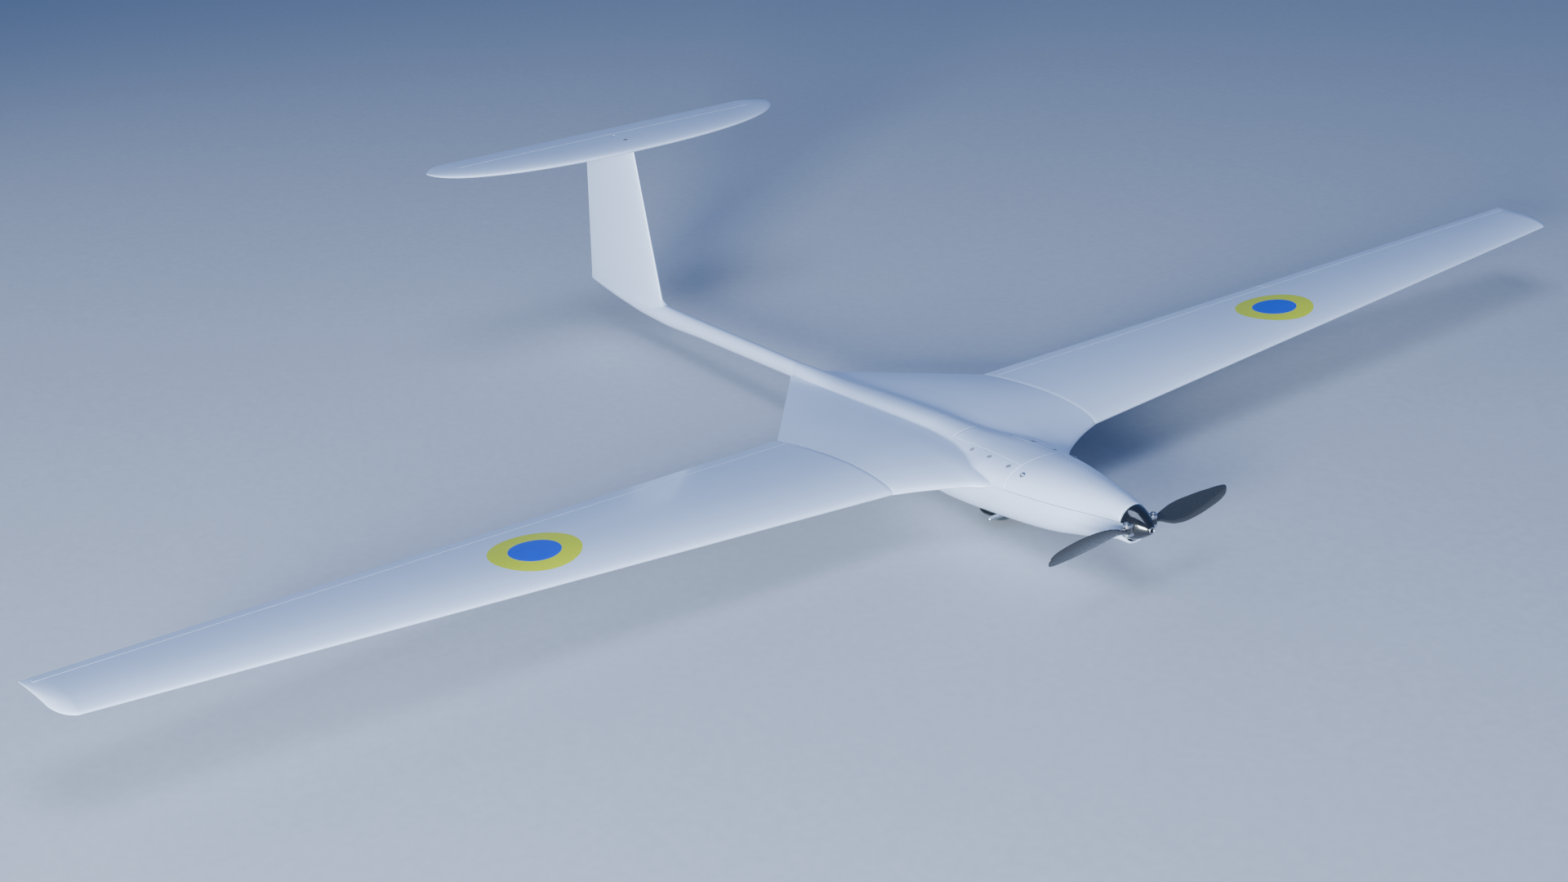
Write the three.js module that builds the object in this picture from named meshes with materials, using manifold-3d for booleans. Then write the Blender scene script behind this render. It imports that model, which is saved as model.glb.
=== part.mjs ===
// Electric T-tail survey sailplane, 1.98 m span, in millimetres.
// Axes: +X to the nose, +Y to the port wing, +Z up. Shapes are drawn from the wing joint's leading edge
// (x = 0, z = 0) and the whole group is then shifted so that the flat belly patch is the origin.
import * as THREE from 'three';
import { mergeVertices } from 'three/addons/utils/BufferGeometryUtils.js';
import Module from 'manifold-3d';

const wasm = await Module();
wasm.setup();

// ---------------------------------------------------------------- driving dimensions
const GAP = 0.3;                     // clearance between pieces that touch
const BEYOND = 1000;                 // past every piece, for cutting shapes
const HINGE_CUT = 0.05;              // a fixed skin stops this far behind its hinge line
const WALL = 2;                      // fuselage shell thickness
const BELLY_Z = -56.5;               // flat landing patch under the belly
const BELLY_X = -75;                 // its middle, close to the balance point
const NOSE_X = 210;                  // front face of the nose shells
const COWL_REAR_X = 70;              // seam between nose cowl and centre body
const BAY_REAR_X = -52;              // rear wall of the equipment bay
const BODY_REAR_X = -376;            // where the tail boom starts
const PARTING = { rearX: 54, frontX: 208, frontZ: 5 };
const HATCH = { rearX: -50, frontX: 69.4, rearHalf: 20, frontHalf: 25, lowZ: 6, highZ: 60 };

const JOINT = { le: [0, 139, 0], te: [-205, 147, -4] };           // wing panel joint
const TIP = { le: [-43, 963, 33], te: [-136, 990, 33.3] };        // straight edges end here
const TIP_RAKE = 20;                 // the last straight section's trailing edge stays this far inboard
const ROOT_FOIL = { thick: 0.09, camber: 0.02 };
const TIP_FOIL = { thick: 0.08, camber: 0.02 };
const HINGE = { rootX: -183, rootY: 149, tipX: -122, tipY: 982 }; // wing hinge line in plan
const SLOT = { inner: 150.5, split: 565, outer: 981 };            // flap and aileron ends
const VEE = Math.tan(THREE.MathUtils.degToRad(44));               // bevel under a top-skin hinge

const BOOM = [                       // x, centre z, half width, half height
  [-376.3, -9.4, 10.3, 10.3],
  [-500, -13.4, 10.8, 10.8],
  [-600, -16.9, 11.2, 11.2],
  [-690, -20.2, 11.9, 12.6],
  [-740, -20.0, 10.6, 12.4],
  [-800, -19.0, 8.4, 9.2],
  [-850, -17.6, 5.0, 6.0],
  [-897, -16.2, 1.2, 1.6],
];
const SPIGOT = { frontX: -338, rearX: -378, rise: 0.6, radius: 7.6 };
const FIN = {
  rootZ: -14, rootLe: -700, rootTe: -897.6, topZ: 195, topLe: -744, topTe: -875, cutZ: 201, bevelZ: 184,
};
const STAB = { z: 202.8, half: 261, leX: -722, tipLeX: -822, hingeX: -808, teX: -850 };
const PROP = { x: 220, hingeY: 17.5 };
const DOME = { x: 5, z: -51, radius: 20, wall: 1.6, fit: 0.2, rimZ: -52, roomZ: -40 };
const MOTOR = { rearX: 168, baseX: 196, shaftX: 232, can: 14, shaft: 1.9, base: 13.4 };

// ---------------------------------------------------------------- materials
function finish(color, roughness, metalness = 0) {
  return new THREE.MeshStandardMaterial({ color, roughness, metalness });
}
const PAINT = finish(0xdfe6f0, 0.38);
const BLACK = finish(0x0c0d0f, 0.18);
const CARBON = finish(0x1d1f22, 0.3);
const STEEL = finish(0xa9adb3, 0.3, 0.9);
const SCREW = finish(0x3a3d42, 0.4, 0.7);
const ALLOY = finish(0xb8bcc2, 0.35, 0.85);
const PLASTIC = finish(0x24262a, 0.5);
const WRAP = finish(0x2c4f8c, 0.45);
const GREEN = finish(0x2f5c43, 0.55);
const GLASS = finish(0x39413f, 0.1);
const PLYWOOD = finish(0xb08d5a, 0.7);

// ---------------------------------------------------------------- meshes and solids
const model = new THREE.Group();
model.position.set(-BELLY_X, 0, -BELLY_Z);

function add(name, shape, material) {
  const geometry = shape.isBufferGeometry ? shape : toGeometry(shape);
  const mesh = new THREE.Mesh(geometry, material);
  mesh.name = name;
  model.add(mesh);
  return mesh;
}

function toSolid(geometry) {
  const bare = geometry.clone();
  bare.deleteAttribute('normal');
  bare.deleteAttribute('uv');
  const merged = mergeVertices(bare, 1e-4);
  return new wasm.Manifold(new wasm.Mesh({
    numProp: 3,
    vertProperties: new Float32Array(merged.attributes.position.array),
    triVerts: new Uint32Array(merged.index.array),
  }));
}

function toGeometry(solid) {
  const mesh = solid.getMesh();
  const geometry = new THREE.BufferGeometry();
  geometry.setAttribute('position', new THREE.Float32BufferAttribute(mesh.vertProperties, 3));
  geometry.setIndex(Array.from(mesh.triVerts));
  return geometry;
}

const v3 = (x, y, z) => new THREE.Vector3(x, y, z);
const mix = (a, b, t) => a + (b - a) * t;
const mixPoint = (a, b, t) => a.map((value, i) => mix(value, b[i], t));

// Linear reading of a table of rows [x, ...values], given in falling x.
function readRows(rows, x) {
  const last = rows.length - 1;
  let i = 0;
  while (i < last - 1 && x < rows[i + 1][0]) i += 1;
  const t = THREE.MathUtils.clamp((x - rows[i][0]) / (rows[i + 1][0] - rows[i][0]), 0, 1);
  return mixPoint(rows[i], rows[i + 1], t);
}

// Signed area of a flat outline and triangles that fill it, in the outline's own direction.
function fillRing(ring) {
  const normal = v3(0, 0, 0);
  ring.forEach((p, i) => normal.add(p.clone().cross(ring[(i + 1) % ring.length])));
  const side = Math.abs(normal.x) > Math.abs(normal.y) ? v3(0, 1, 0) : v3(1, 0, 0);
  const u = side.clone().cross(normal).normalize();
  const w = normal.clone().cross(u).normalize();
  const flat = ring.map((p) => new THREE.Vector2(p.dot(u), p.dot(w)));
  return THREE.ShapeUtils.triangulateShape(flat, []).map(([a, b, c]) => {
    const turn = (flat[b].x - flat[a].x) * (flat[c].y - flat[a].y)
      - (flat[b].y - flat[a].y) * (flat[c].x - flat[a].x);
    return turn > 0 ? [a, b, c] : [a, c, b];
  });
}

// Closed solid through rings of equal point count.
function loft(rings) {
  const n = rings[0].length;
  const points = rings.flat();
  let faces = [];
  for (let r = 0; r < rings.length - 1; r += 1) {
    for (let k = 0; k < n; k += 1) {
      const a = r * n + k;
      const b = r * n + ((k + 1) % n);
      faces.push([a, b, b + n], [a, b + n, a + n]);
    }
  }
  const top = (rings.length - 1) * n;
  fillRing(rings[0]).forEach(([a, b, c]) => faces.push([a, c, b]));
  fillRing(rings.at(-1)).forEach(([a, b, c]) => faces.push([a + top, b + top, c + top]));
  const volume = faces.reduce((sum, [a, b, c]) => sum + points[a].dot(points[b].clone().cross(points[c])), 0);
  if (volume < 0) faces = faces.map(([a, b, c]) => [a, c, b]);
  const geometry = new THREE.BufferGeometry();
  geometry.setAttribute('position', new THREE.Float32BufferAttribute(points.flatMap((p) => p.toArray()), 3));
  geometry.setIndex(faces.flat());
  return geometry;
}

function box(low, high) {
  const size = low.map((value, i) => high[i] - value);
  const middle = low.map((value, i) => (high[i] + value) / 2);
  return new THREE.BoxGeometry(...size).translate(...middle);
}

// Rod between two points.
function rod(from, to, radius, sides = 12) {
  const a = v3(...from);
  const b = v3(...to);
  const geometry = new THREE.CylinderGeometry(radius, radius, a.distanceTo(b), sides);
  const turn = new THREE.Quaternion().setFromUnitVectors(v3(0, 1, 0), b.clone().sub(a).normalize());
  return geometry.applyQuaternion(turn).translate(...a.add(b).multiplyScalar(0.5).toArray());
}

// Solid of revolution; profile points are [distance along the axis, radius], axis +X.
function turned(profile, sides = 24) {
  const points = profile.map(([along, radius]) => new THREE.Vector2(radius, along));
  return new THREE.LatheGeometry(points, sides).rotateZ(-Math.PI / 2);
}

function mirrored(geometry) {
  const copy = geometry.clone();
  const position = copy.attributes.position;
  for (let i = 0; i < position.count; i += 1) position.setY(i, -position.getY(i));
  const index = copy.index.array;
  for (let i = 0; i < index.length; i += 3) [index[i], index[i + 1]] = [index[i + 1], index[i]];
  return copy;
}

// ---------------------------------------------------------------- aerofoils
function foilHeights(x, thick, camber) {
  const series = 0.2969 * Math.sqrt(x) - 0.126 * x - 0.3516 * x ** 2 + 0.2843 * x ** 3 - 0.1015 * x ** 4;
  const half = 5 * thick * series;
  const peak = 0.4;
  const front = camber / peak ** 2 * (2 * peak * x - x ** 2);
  const rear = camber / (1 - peak) ** 2 * (1 - 2 * peak + 2 * peak * x - x ** 2);
  return { half, line: x < peak ? front : rear };
}

const EDGE = 0.35;                   // half thickness kept at a trailing edge
const FOIL_STEPS = 8;

// Point on the upper (+1) or lower (-1) skin at a fraction of the chord.
function skin(le, te, foil, x, side, up) {
  const { half, line } = foilHeights(x, foil.thick, foil.camber);
  const from = v3(...le);
  const chord = v3(...te).sub(from);
  const lift = line * chord.length() + side * (half * chord.length() + EDGE * x);
  return from.addScaledVector(chord, x).addScaledVector(up, lift);
}

// Closed outline: trailing edge, over the top to the nose and back underneath.
function foilRing(le, te, foil, up = v3(0, 0, 1)) {
  const ring = [];
  for (let i = 0; i <= FOIL_STEPS; i += 1) {
    ring.push(skin(le, te, foil, (1 + Math.cos(Math.PI * i / FOIL_STEPS)) / 2, 1, up));
  }
  for (let i = 1; i <= FOIL_STEPS; i += 1) {
    ring.push(skin(le, te, foil, (1 - Math.cos(Math.PI * i / FOIL_STEPS)) / 2, -1, up));
  }
  return ring;
}

// Piece of a section behind the hinge: the hinge is in the top skin and the underside is bevelled.
function flapRing(le, te, foil, hingeFraction, chord, up = v3(0, 0, 1)) {
  const depth = foilHeights(hingeFraction, foil.thick, foil.camber).half * 2 * chord;
  const start = hingeFraction + GAP / chord;
  const lower = start + depth * VEE / chord;
  const upperStops = [start, mix(start, 1, 0.35), mix(start, 1, 0.7), 1];
  const lowerStops = [1, mix(lower, 1, 0.65), mix(lower, 1, 0.3), lower];
  return [
    ...upperStops.map((x) => skin(le, te, foil, x, 1, up)),
    ...lowerStops.map((x) => skin(le, te, foil, x, -1, up)),
  ];
}

// ---------------------------------------------------------------- outer wing panel (port)
const mixFoil = (t) => ({
  thick: mix(ROOT_FOIL.thick, TIP_FOIL.thick, t),
  camber: mix(ROOT_FOIL.camber, TIP_FOIL.camber, t),
});

// Section whose leading edge is at spanwise position y; the two edges keep the same share of the span.
function wingSection(y) {
  const t = (y - JOINT.le[1]) / (TIP.le[1] - JOINT.le[1]);
  const teShare = (mix(JOINT.te[1], TIP.te[1] - TIP_RAKE, t) - JOINT.te[1]) / (TIP.te[1] - JOINT.te[1]);
  return { le: mixPoint(JOINT.le, TIP.le, t), te: mixPoint(JOINT.te, TIP.te, teShare), foil: mixFoil(t) };
}

const TIP_CAP = [                    // leading edge, trailing edge, share of the tip thickness
  { le: [-52, 972.5, 33.1], te: [-137.2, 981, 33.1], share: 0.92 },
  { le: [-63, 978.5, 33.2], te: [-136.4, 987, 33.2], share: 0.62 },
  { le: [-74, 981.5, 33.3], te: TIP.te, share: 0.2 },
];

// Vertical plane of constant y through the panel, as a section.
function wingSlice(y) {
  const leT = (y - JOINT.le[1]) / (TIP.le[1] - JOINT.le[1]);
  const teT = (y - JOINT.te[1]) / (TIP.te[1] - JOINT.te[1]);
  return { le: mixPoint(JOINT.le, TIP.le, leT), te: mixPoint(JOINT.te, TIP.te, teT), foil: mixFoil(leT) };
}

const hingeX = (y) => mix(HINGE.rootX, HINGE.tipX, (y - HINGE.rootY) / (HINGE.tipY - HINGE.rootY));

function hingePoint(y) {
  const { le, te, foil } = wingSlice(y);
  const chord = le[0] - te[0];
  const fraction = (le[0] - hingeX(y)) / chord;
  return { point: skin(le, te, foil, fraction, 1, v3(0, 0, 1)), fraction, chord, le, te, foil };
}

function wingBlank() {
  const rings = [JOINT.le[1] + GAP, 400, 700, 940, 960].map((y) => {
    const { le, te, foil } = wingSection(y);
    return foilRing(le, te, foil);
  });
  TIP_CAP.forEach(({ le, te, share }) => {
    rings.push(foilRing(le, te, { thick: TIP_FOIL.thick * share, camber: TIP_FOIL.camber }));
  });
  return toSolid(loft(rings));
}

function controlSurface(from, to) {
  const rings = [from, (from + to) / 2, to].map((y) => {
    const { le, te, foil, fraction, chord } = hingePoint(y);
    return flapRing(le, te, foil, fraction, chord);
  });
  return toSolid(loft(rings));
}

function hingeCutter() {
  const rings = [SLOT.inner - GAP, SLOT.outer + GAP].map((y) => [
    v3(hingeX(y) - HINGE_CUT, y, BEYOND),
    v3(-BEYOND, y, BEYOND),
    v3(-BEYOND, y, -BEYOND),
    v3(hingeX(y) - HINGE_CUT, y, -BEYOND),
  ]);
  return toSolid(loft(rings));
}

// ---------------------------------------------------------------- control linkages
// A parallelogram: servo arm, push rod and horn keep the same angle, so one ratio holds all of them.
const LINK = { arm: 13, rodRadius: 0.9, plate: 1.2, boss: 2.6, armEnd: 1.9, eye: 2.1 };
const SERVO = { long: 23, tall: 24, thick: 7.4, behind: 6.5, inward: 1, bossY: -1.5 };
const ARM_ROOM = { rear: 9, front: 8, inner: -1.6, outer: 5.2, above: 3 };
const POCKET_DEPTH = 60;

// Local frame at a hinge: x forward, y along the hinge towards port, z up.
function linkFrame(hinge, along) {
  const y = along.clone().normalize();
  const z = v3(0, 0, 1).addScaledVector(y, -y.z).normalize();
  return new THREE.Matrix4().makeBasis(y.clone().cross(z), y, z).setPosition(hinge);
}

function plate(outline, from, to) {
  const ring = (y) => outline.map(([x, z]) => v3(x, y, z));
  return loft([ring(from), ring(to)]);
}

// Flat lever hanging from (x, z) by LINK.arm, with round ends.
function leverOutline(x, z) {
  const steps = 6;
  const arc = (cx, cz, radius, start) => Array.from({ length: steps + 1 }, (_, i) => {
    const angle = start + Math.PI * i / steps;
    return [cx + radius * Math.cos(angle), cz + radius * Math.sin(angle)];
  });
  return [...arc(x, z, LINK.boss, 0), ...arc(x, z - LINK.arm, LINK.armEnd, Math.PI)];
}

// Horn outline: two feet inside the control surface and a round eye below the hinge.
const HORN = [[-5.4, -1.9], [-10.5, -1.7], [-2, -14.2], [-0.6, -15], [1, -14.8], [1.9, -13.2], [1.2, -11.6]];

function linkage(hinge, along, length, drop) {
  const frame = linkFrame(hinge, along);
  const place = (geometry) => geometry.applyMatrix4(frame);
  const armZ = -drop;
  const pinZ = -LINK.arm;
  const servoLow = [length - SERVO.behind, -SERVO.tall - SERVO.inward, armZ - SERVO.thick / 2];
  const servoHigh = [length - SERVO.behind + SERVO.long, -SERVO.inward, armZ + SERVO.thick / 2];
  const boss = rod([length, SERVO.bossY, armZ], [length, GAP / 3, armZ], LINK.boss);
  const servo = toSolid(box(servoLow, servoHigh)).add(toSolid(boss));
  const arm = plate(leverOutline(length, armZ), 2 * GAP, 2 * GAP + LINK.plate);
  const rodY = 3 * GAP + LINK.plate;
  const eye = (x, z) => toSolid(rod([x, rodY, z], [x, rodY + 2 * LINK.rodRadius, z], LINK.eye));
  const barY = rodY + LINK.rodRadius;
  const bar = rod([0, barY, pinZ], [length, barY, armZ + pinZ], LINK.rodRadius, 8);
  const link = toSolid(bar).add(eye(0, pinZ)).add(eye(length, armZ + pinZ));
  const pocket = box(
    [servoLow[0] - GAP, servoLow[1] - GAP, -POCKET_DEPTH],
    [servoHigh[0] + GAP, servoHigh[1] + GAP, servoHigh[2] + GAP],
  );
  const armRoom = box(
    [length - ARM_ROOM.rear, ARM_ROOM.inner, -POCKET_DEPTH],
    [length + ARM_ROOM.front, ARM_ROOM.outer, armZ + ARM_ROOM.above],
  );
  return {
    servo: place(toGeometry(servo)),
    arm: place(arm),
    link: place(toGeometry(link)),
    horn: toSolid(place(plate(HORN, 2 * GAP, 2 * GAP + LINK.plate))),
    pocket: toSolid(place(pocket)).add(toSolid(place(armRoom))),
  };
}

const LINK_LENGTH = { flap: 60, aileron: 46, elevator: 40 };
const LINK_Y = { flap: 262, aileron: 612, elevator: 30 };
const LINK_DROP = { flap: 1.6, aileron: 1.6, elevator: 4.4 };

// ---------------------------------------------------------------- wing joiner, a rod bent to the dihedral
const JOINER = { x: -62, z: 2.6, radius: 4, bendY: 142, reach: 240 };
const dihedral = (TIP.le[2] - JOINT.le[2]) / (TIP.le[1] - JOINT.le[1]);

function joiner(radius) {
  const tipZ = JOINER.z + (JOINER.reach - JOINER.bendY) * dihedral;
  const half = [[JOINER.bendY, JOINER.z], [JOINER.reach, tipZ]];
  const stations = [...half.map(([y, z]) => [-y, z]).reverse(), ...half];
  const sides = 12;
  return loft(stations.map(([y, z]) => Array.from({ length: sides }, (_, i) => {
    const angle = 2 * Math.PI * i / sides;
    return v3(JOINER.x + radius * Math.cos(angle), y, z + radius * Math.sin(angle));
  })));
}
const joinerBore = toSolid(joiner(JOINER.radius + GAP));

// ---------------------------------------------------------------- outer wings with their surfaces and servos
function buildWing() {
  let wing = wingBlank().subtract(hingeCutter()).subtract(joinerBore);
  const pieces = {};
  const surfaces = [['flap', SLOT.inner, SLOT.split - GAP], ['aileron', SLOT.split + GAP, SLOT.outer]];
  surfaces.forEach(([kind, from, to]) => {
    const hinge = hingePoint(LINK_Y[kind]).point;
    const along = hingePoint(to).point.sub(hingePoint(from).point);
    const link = linkage(hinge, along, LINK_LENGTH[kind], LINK_DROP[kind]);
    wing = wing.subtract(link.pocket);
    pieces[kind] = toGeometry(controlSurface(from, to).add(link.horn));
    pieces[`${kind}_servo`] = link.servo;
    pieces[`${kind}_servo_arm`] = link.arm;
    pieces[`${kind}_pushrod`] = link.link;
  });
  pieces.wing = toGeometry(wing);
  return pieces;
}

const LOOKS = { servo: PLASTIC, servo_arm: ALLOY, pushrod: STEEL };
Object.entries(buildWing()).forEach(([name, geometry]) => {
  const material = LOOKS[name.replace(/^(flap|aileron)_/, '')] ?? PAINT;
  add(`${name}_left`, geometry, material);
  add(`${name}_right`, mirrored(geometry), material);
});
add('wing_joiner', joiner(JOINER.radius), CARBON);

// ---------------------------------------------------------------- tailplane
// The leading edge is an ellipse swept back from the centre; the trailing edge is straight to the curled tips.
const STAB_FOIL = { thick: 0.086, camber: 0 };

const STAB_PLAN = { power: 2.3, curlFrom: 0.86, curl: 26, curlPower: 2.4 };

function stabSection(y) {
  const share = Math.min(Math.abs(y) / STAB.half, 1);
  const lead = mix(STAB.tipLeX, STAB.leX, Math.sqrt(1 - share ** STAB_PLAN.power));
  const curl = Math.max(0, share - STAB_PLAN.curlFrom) / (1 - STAB_PLAN.curlFrom);
  const trail = STAB.teX + STAB_PLAN.curl * curl ** STAB_PLAN.curlPower;
  return { le: [lead, y, STAB.z], te: [trail, y, STAB.z] };
}

const STAB_Y = [0, 60, 120, 170, 205, 232, 250, 260];
const bothSides = (list) => [...list.slice(1).reverse().map((y) => -y), ...list];

function stabBlank() {
  return toSolid(loft(bothSides(STAB_Y).map((y) => {
    const { le, te } = stabSection(y);
    return foilRing(le, te, STAB_FOIL);
  })));
}

// The hinge line bends slightly back towards the tips in plan, but the hinge itself is straight.
const ELEVATOR_HALF = 222;
const elevatorFraction = ({ le, te }) => (le[0] - STAB.hingeX) / (le[0] - te[0]);

function stabHinge(y) {
  const section = stabSection(y);
  return skin(section.le, section.te, STAB_FOIL, elevatorFraction(section), 1, v3(0, 0, 1));
}

function elevatorSolid() {
  const stations = bothSides([0, 60, 120, 170, 205, ELEVATOR_HALF]);
  return toSolid(loft(stations.map((y) => {
    const section = stabSection(y);
    const chord = section.le[0] - section.te[0];
    return flapRing(section.le, section.te, STAB_FOIL, elevatorFraction(section), chord);
  })));
}

const elevatorCut = box(
  [-BEYOND, -ELEVATOR_HALF - GAP, -BEYOND],
  [STAB.hingeX - HINGE_CUT, ELEVATOR_HALF + GAP, BEYOND],
);
const elevatorAxisZ = (stabHinge(0).z + stabHinge(ELEVATOR_HALF).z) / 2;
const elevatorLink = linkage(
  v3(STAB.hingeX, LINK_Y.elevator, elevatorAxisZ),
  v3(0, 1, 0),
  LINK_LENGTH.elevator,
  LINK_DROP.elevator,
);

const BOLT = { head: 3.1, shank: 1.5, footZ: 172, room: 3.4 };
const STAB_BOLTS = [
  { name: 'stab_bolt_front', x: -763, top: 208.3 },
  { name: 'stab_bolt_rear', x: -797, top: 206.5 },
];

// Countersunk bolt with a hexagon socket, from the stabilizer's top skin down into the fin.
function bolt(x, top) {
  const { head, shank } = BOLT;
  const length = top - BOLT.footZ;
  const profile = [[-length, 0], [-length, shank], [-head * 0.7, shank], [0, head], [0, 0]];
  const body = toSolid(turned(profile, 12).rotateY(-Math.PI / 2));
  const socket = toSolid(new THREE.CylinderGeometry(head * 0.45, head * 0.45, head, 6).rotateX(Math.PI / 2));
  return body.subtract(socket).translate([x, 0, top]);
}

let stab = stabBlank().subtract(toSolid(elevatorCut)).subtract(elevatorLink.pocket);
STAB_BOLTS.forEach(({ x }) => {
  stab = stab.subtract(toSolid(rod([x, 0, BOLT.footZ], [x, 0, BEYOND], BOLT.room, 16)));
});
add('stabilizer', stab, PAINT);
add('elevator', elevatorSolid().add(elevatorLink.horn), PAINT);
add('elevator_servo', elevatorLink.servo, PLASTIC);
add('elevator_servo_arm', elevatorLink.arm, ALLOY);
add('elevator_pushrod', elevatorLink.link, STEEL);

// ---------------------------------------------------------------- tail boom and fin
function ellipseRing(x, middle, halfWidth, halfHeight, sides = 16) {
  return Array.from({ length: sides }, (_, i) => {
    const angle = 2 * Math.PI * i / sides;
    return v3(x, halfWidth * Math.cos(angle), middle + halfHeight * Math.sin(angle));
  });
}

function boomSolid(extra = 0) {
  return toSolid(loft(BOOM.map(([x, z, w, h]) => ellipseRing(x, z, w + extra, h + extra))));
}
const spigot = (extra) => rod(
  [SPIGOT.frontX + extra, 0, BOOM[0][1] + SPIGOT.rise],
  [SPIGOT.rearX, 0, BOOM[0][1]],
  SPIGOT.radius + extra,
  20,
);
add('tail_boom', boomSolid().add(toSolid(spigot(0))), PAINT);

const FIN_FOIL = { thick: 0.088, camber: 0 };
const finSide = v3(0, 1, 0);

function finSolid() {
  const rings = [0, 0.5, 1].map((t) => {
    const reach = (FIN.cutZ - FIN.rootZ) / (FIN.topZ - FIN.rootZ);
    const z = mix(FIN.rootZ, FIN.cutZ, t);
    const le = [mix(FIN.rootLe, FIN.topLe, t * reach), 0, z];
    const te = [mix(FIN.rootTe, FIN.topTe, t * reach), 0, z];
    return foilRing(le, te, FIN_FOIL, finSide);
  });
  const bevelX = STAB.hingeX + 4;
  const bevel = [[bevelX, BEYOND], [-BEYOND, BEYOND], [-BEYOND, FIN.bevelZ], [bevelX, FIN.topZ + 1]];
  const rear = plate(bevel, -BEYOND, BEYOND);
  const seat = stabBlank().translate([0, 0, -GAP]);
  return toSolid(loft(rings)).subtract(toSolid(rear)).subtract(seat).subtract(boomSolid(GAP));
}
let fin = finSolid();
STAB_BOLTS.forEach(({ name, x, top }) => {
  add(name, bolt(x, top), SCREW);
  fin = fin.subtract(toSolid(rod([x, 0, BOLT.footZ - GAP], [x, 0, BEYOND], BOLT.shank + GAP, 12)));
});
add('fin', fin, PAINT);

// ---------------------------------------------------------------- fuselage pod
const POD = [                        // x, top, belly, upper half width, lower half width, widest height
  [210, 18.5, -18.5, 18.5, 18.5, 0],
  [200, 20.2, -21.6, 21.2, 21.2, 0],
  [185, 22.4, -25.7, 24.6, 24.6, 0],
  [150, 24.8, -35, 33.4, 33.4, 0],
  [110, 25.4, -44, 42.2, 42.2, 0],
  [60, 23, -50.3, 49.4, 49.4, 0],
  [24, 21.4, -54, 51.5, 52, 0],
  [-12, 19.8, -57, 38, 55, 0],
  [-48, 18, -58.4, 29, 56.5, 0],
  [-100, 17.4, -58.4, 25, 54, -1],
  [-150, 14.6, -55, 25, 47, -3],
  [-220, 9.2, -46.5, 23, 36, -5],
  [-300, 3.4, -35, 17, 22, -8],
  [BODY_REAR_X, 0.9, -19.7, 10.3, 10.3, -9.4],
];
const POD_POWER = 2.2;

function podRing(x, inset = 0, sides = 24) {
  const [, top, belly, upper, lower, middle] = readRows(POD, x);
  return Array.from({ length: sides }, (_, i) => {
    const angle = 2 * Math.PI * i / sides;
    const c = Math.cos(angle);
    const s = Math.sin(angle);
    const half = (s >= 0 ? upper : lower) - inset;
    const height = (s >= 0 ? top - middle : middle - belly) - inset;
    const curve = (value) => Math.sign(value) * Math.abs(value) ** (2 / POD_POWER);
    return v3(x, half * curve(c), middle + height * curve(s));
  });
}

const podSolid = () => toSolid(loft(POD.map(([x]) => podRing(x))));

const CAVITY_X = [NOSE_X + 5, 185, 150, 110, 60, 24, -12, BAY_REAR_X];
const cavity = () => toSolid(loft(CAVITY_X.map((x) => podRing(x, WALL, 16))));

const CENTRE_SECTIONS = [            // leading edge x and y, thickness, camber, leading edge height
  [62, 0, 0.056, 0.008, -2],
  [59, 30, 0.058, 0.01, -1],
  [52, 54, 0.062, 0.012, 0],
  [37.5, 70, 0.066, 0.014, 0],
  [23, 92, 0.073, 0.016, 0],
  [9, 118, 0.082, 0.018, 0],
  [JOINT.le[0], JOINT.le[1], ROOT_FOIL.thick, ROOT_FOIL.camber, JOINT.le[2]],
];
const CENTRE_TE = { x: -393, z: -13.6 };
const THICKEN = 0.006;               // thickness share added for each millimetre of growth

function centreSection([x, y, thick, camber, z], grow = 0) {
  const share = y / JOINT.le[1];
  const te = mixPoint([CENTRE_TE.x, 0, CENTRE_TE.z], JOINT.te, share);
  const foil = { thick: thick + grow * THICKEN, camber };
  return { le: [x + grow, y, z], te: [te[0] - grow, te[1], te[2]], foil };
}

function centreWing(grow = 0) {
  const half = CENTRE_SECTIONS.map((row) => {
    const { le, te, foil } = centreSection(row, grow);
    return foilRing(le, te, foil);
  });
  const flip = (ring) => ring.map((p) => v3(p.x, -p.y, p.z));
  return toSolid(loft([...half.slice(1).reverse().map(flip), ...half]));
}

// Everything above the parting surface: it climbs towards the nose and follows the wing's chord behind it.
function abovePlane(offset) {
  const slope = PARTING.frontZ / (PARTING.frontX - PARTING.rearX);
  const outline = [
    [CENTRE_TE.x, CENTRE_TE.z + offset],
    [PARTING.rearX, offset],
    [BEYOND, offset + (BEYOND - PARTING.rearX) * slope],
    [BEYOND, BEYOND],
    [CENTRE_TE.x, BEYOND],
  ];
  return toSolid(plate(outline, -BEYOND, BEYOND));
}

// Upright block round the hatch, whose sides spread slightly towards the nose.
function hatchPrism(grow, frontX = HATCH.frontX) {
  const share = (x) => (x - HATCH.rearX) / (HATCH.frontX - HATCH.rearX);
  const half = (x) => grow + mix(HATCH.rearHalf, HATCH.frontHalf, share(x));
  const rear = HATCH.rearX - grow;
  const outline = (z) => [
    v3(rear, -half(rear), z),
    v3(frontX, -half(frontX), z),
    v3(frontX, half(frontX), z),
    v3(rear, half(rear), z),
  ];
  return toSolid(loft([outline(HATCH.lowZ), outline(HATCH.highZ)]));
}

const slab = (low, high) => toSolid(box([low, -BEYOND, -BEYOND], [high, BEYOND, BEYOND]));
const pod = podSolid();
const bay = cavity();
const shell = pod.subtract(bay);
const wingBody = centreWing();
const boomBore = toSolid(spigot(GAP));
const behindCowl = slab(-BEYOND, COWL_REAR_X - GAP);
const cowlZone = slab(COWL_REAR_X, NOSE_X - GAP);

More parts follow.
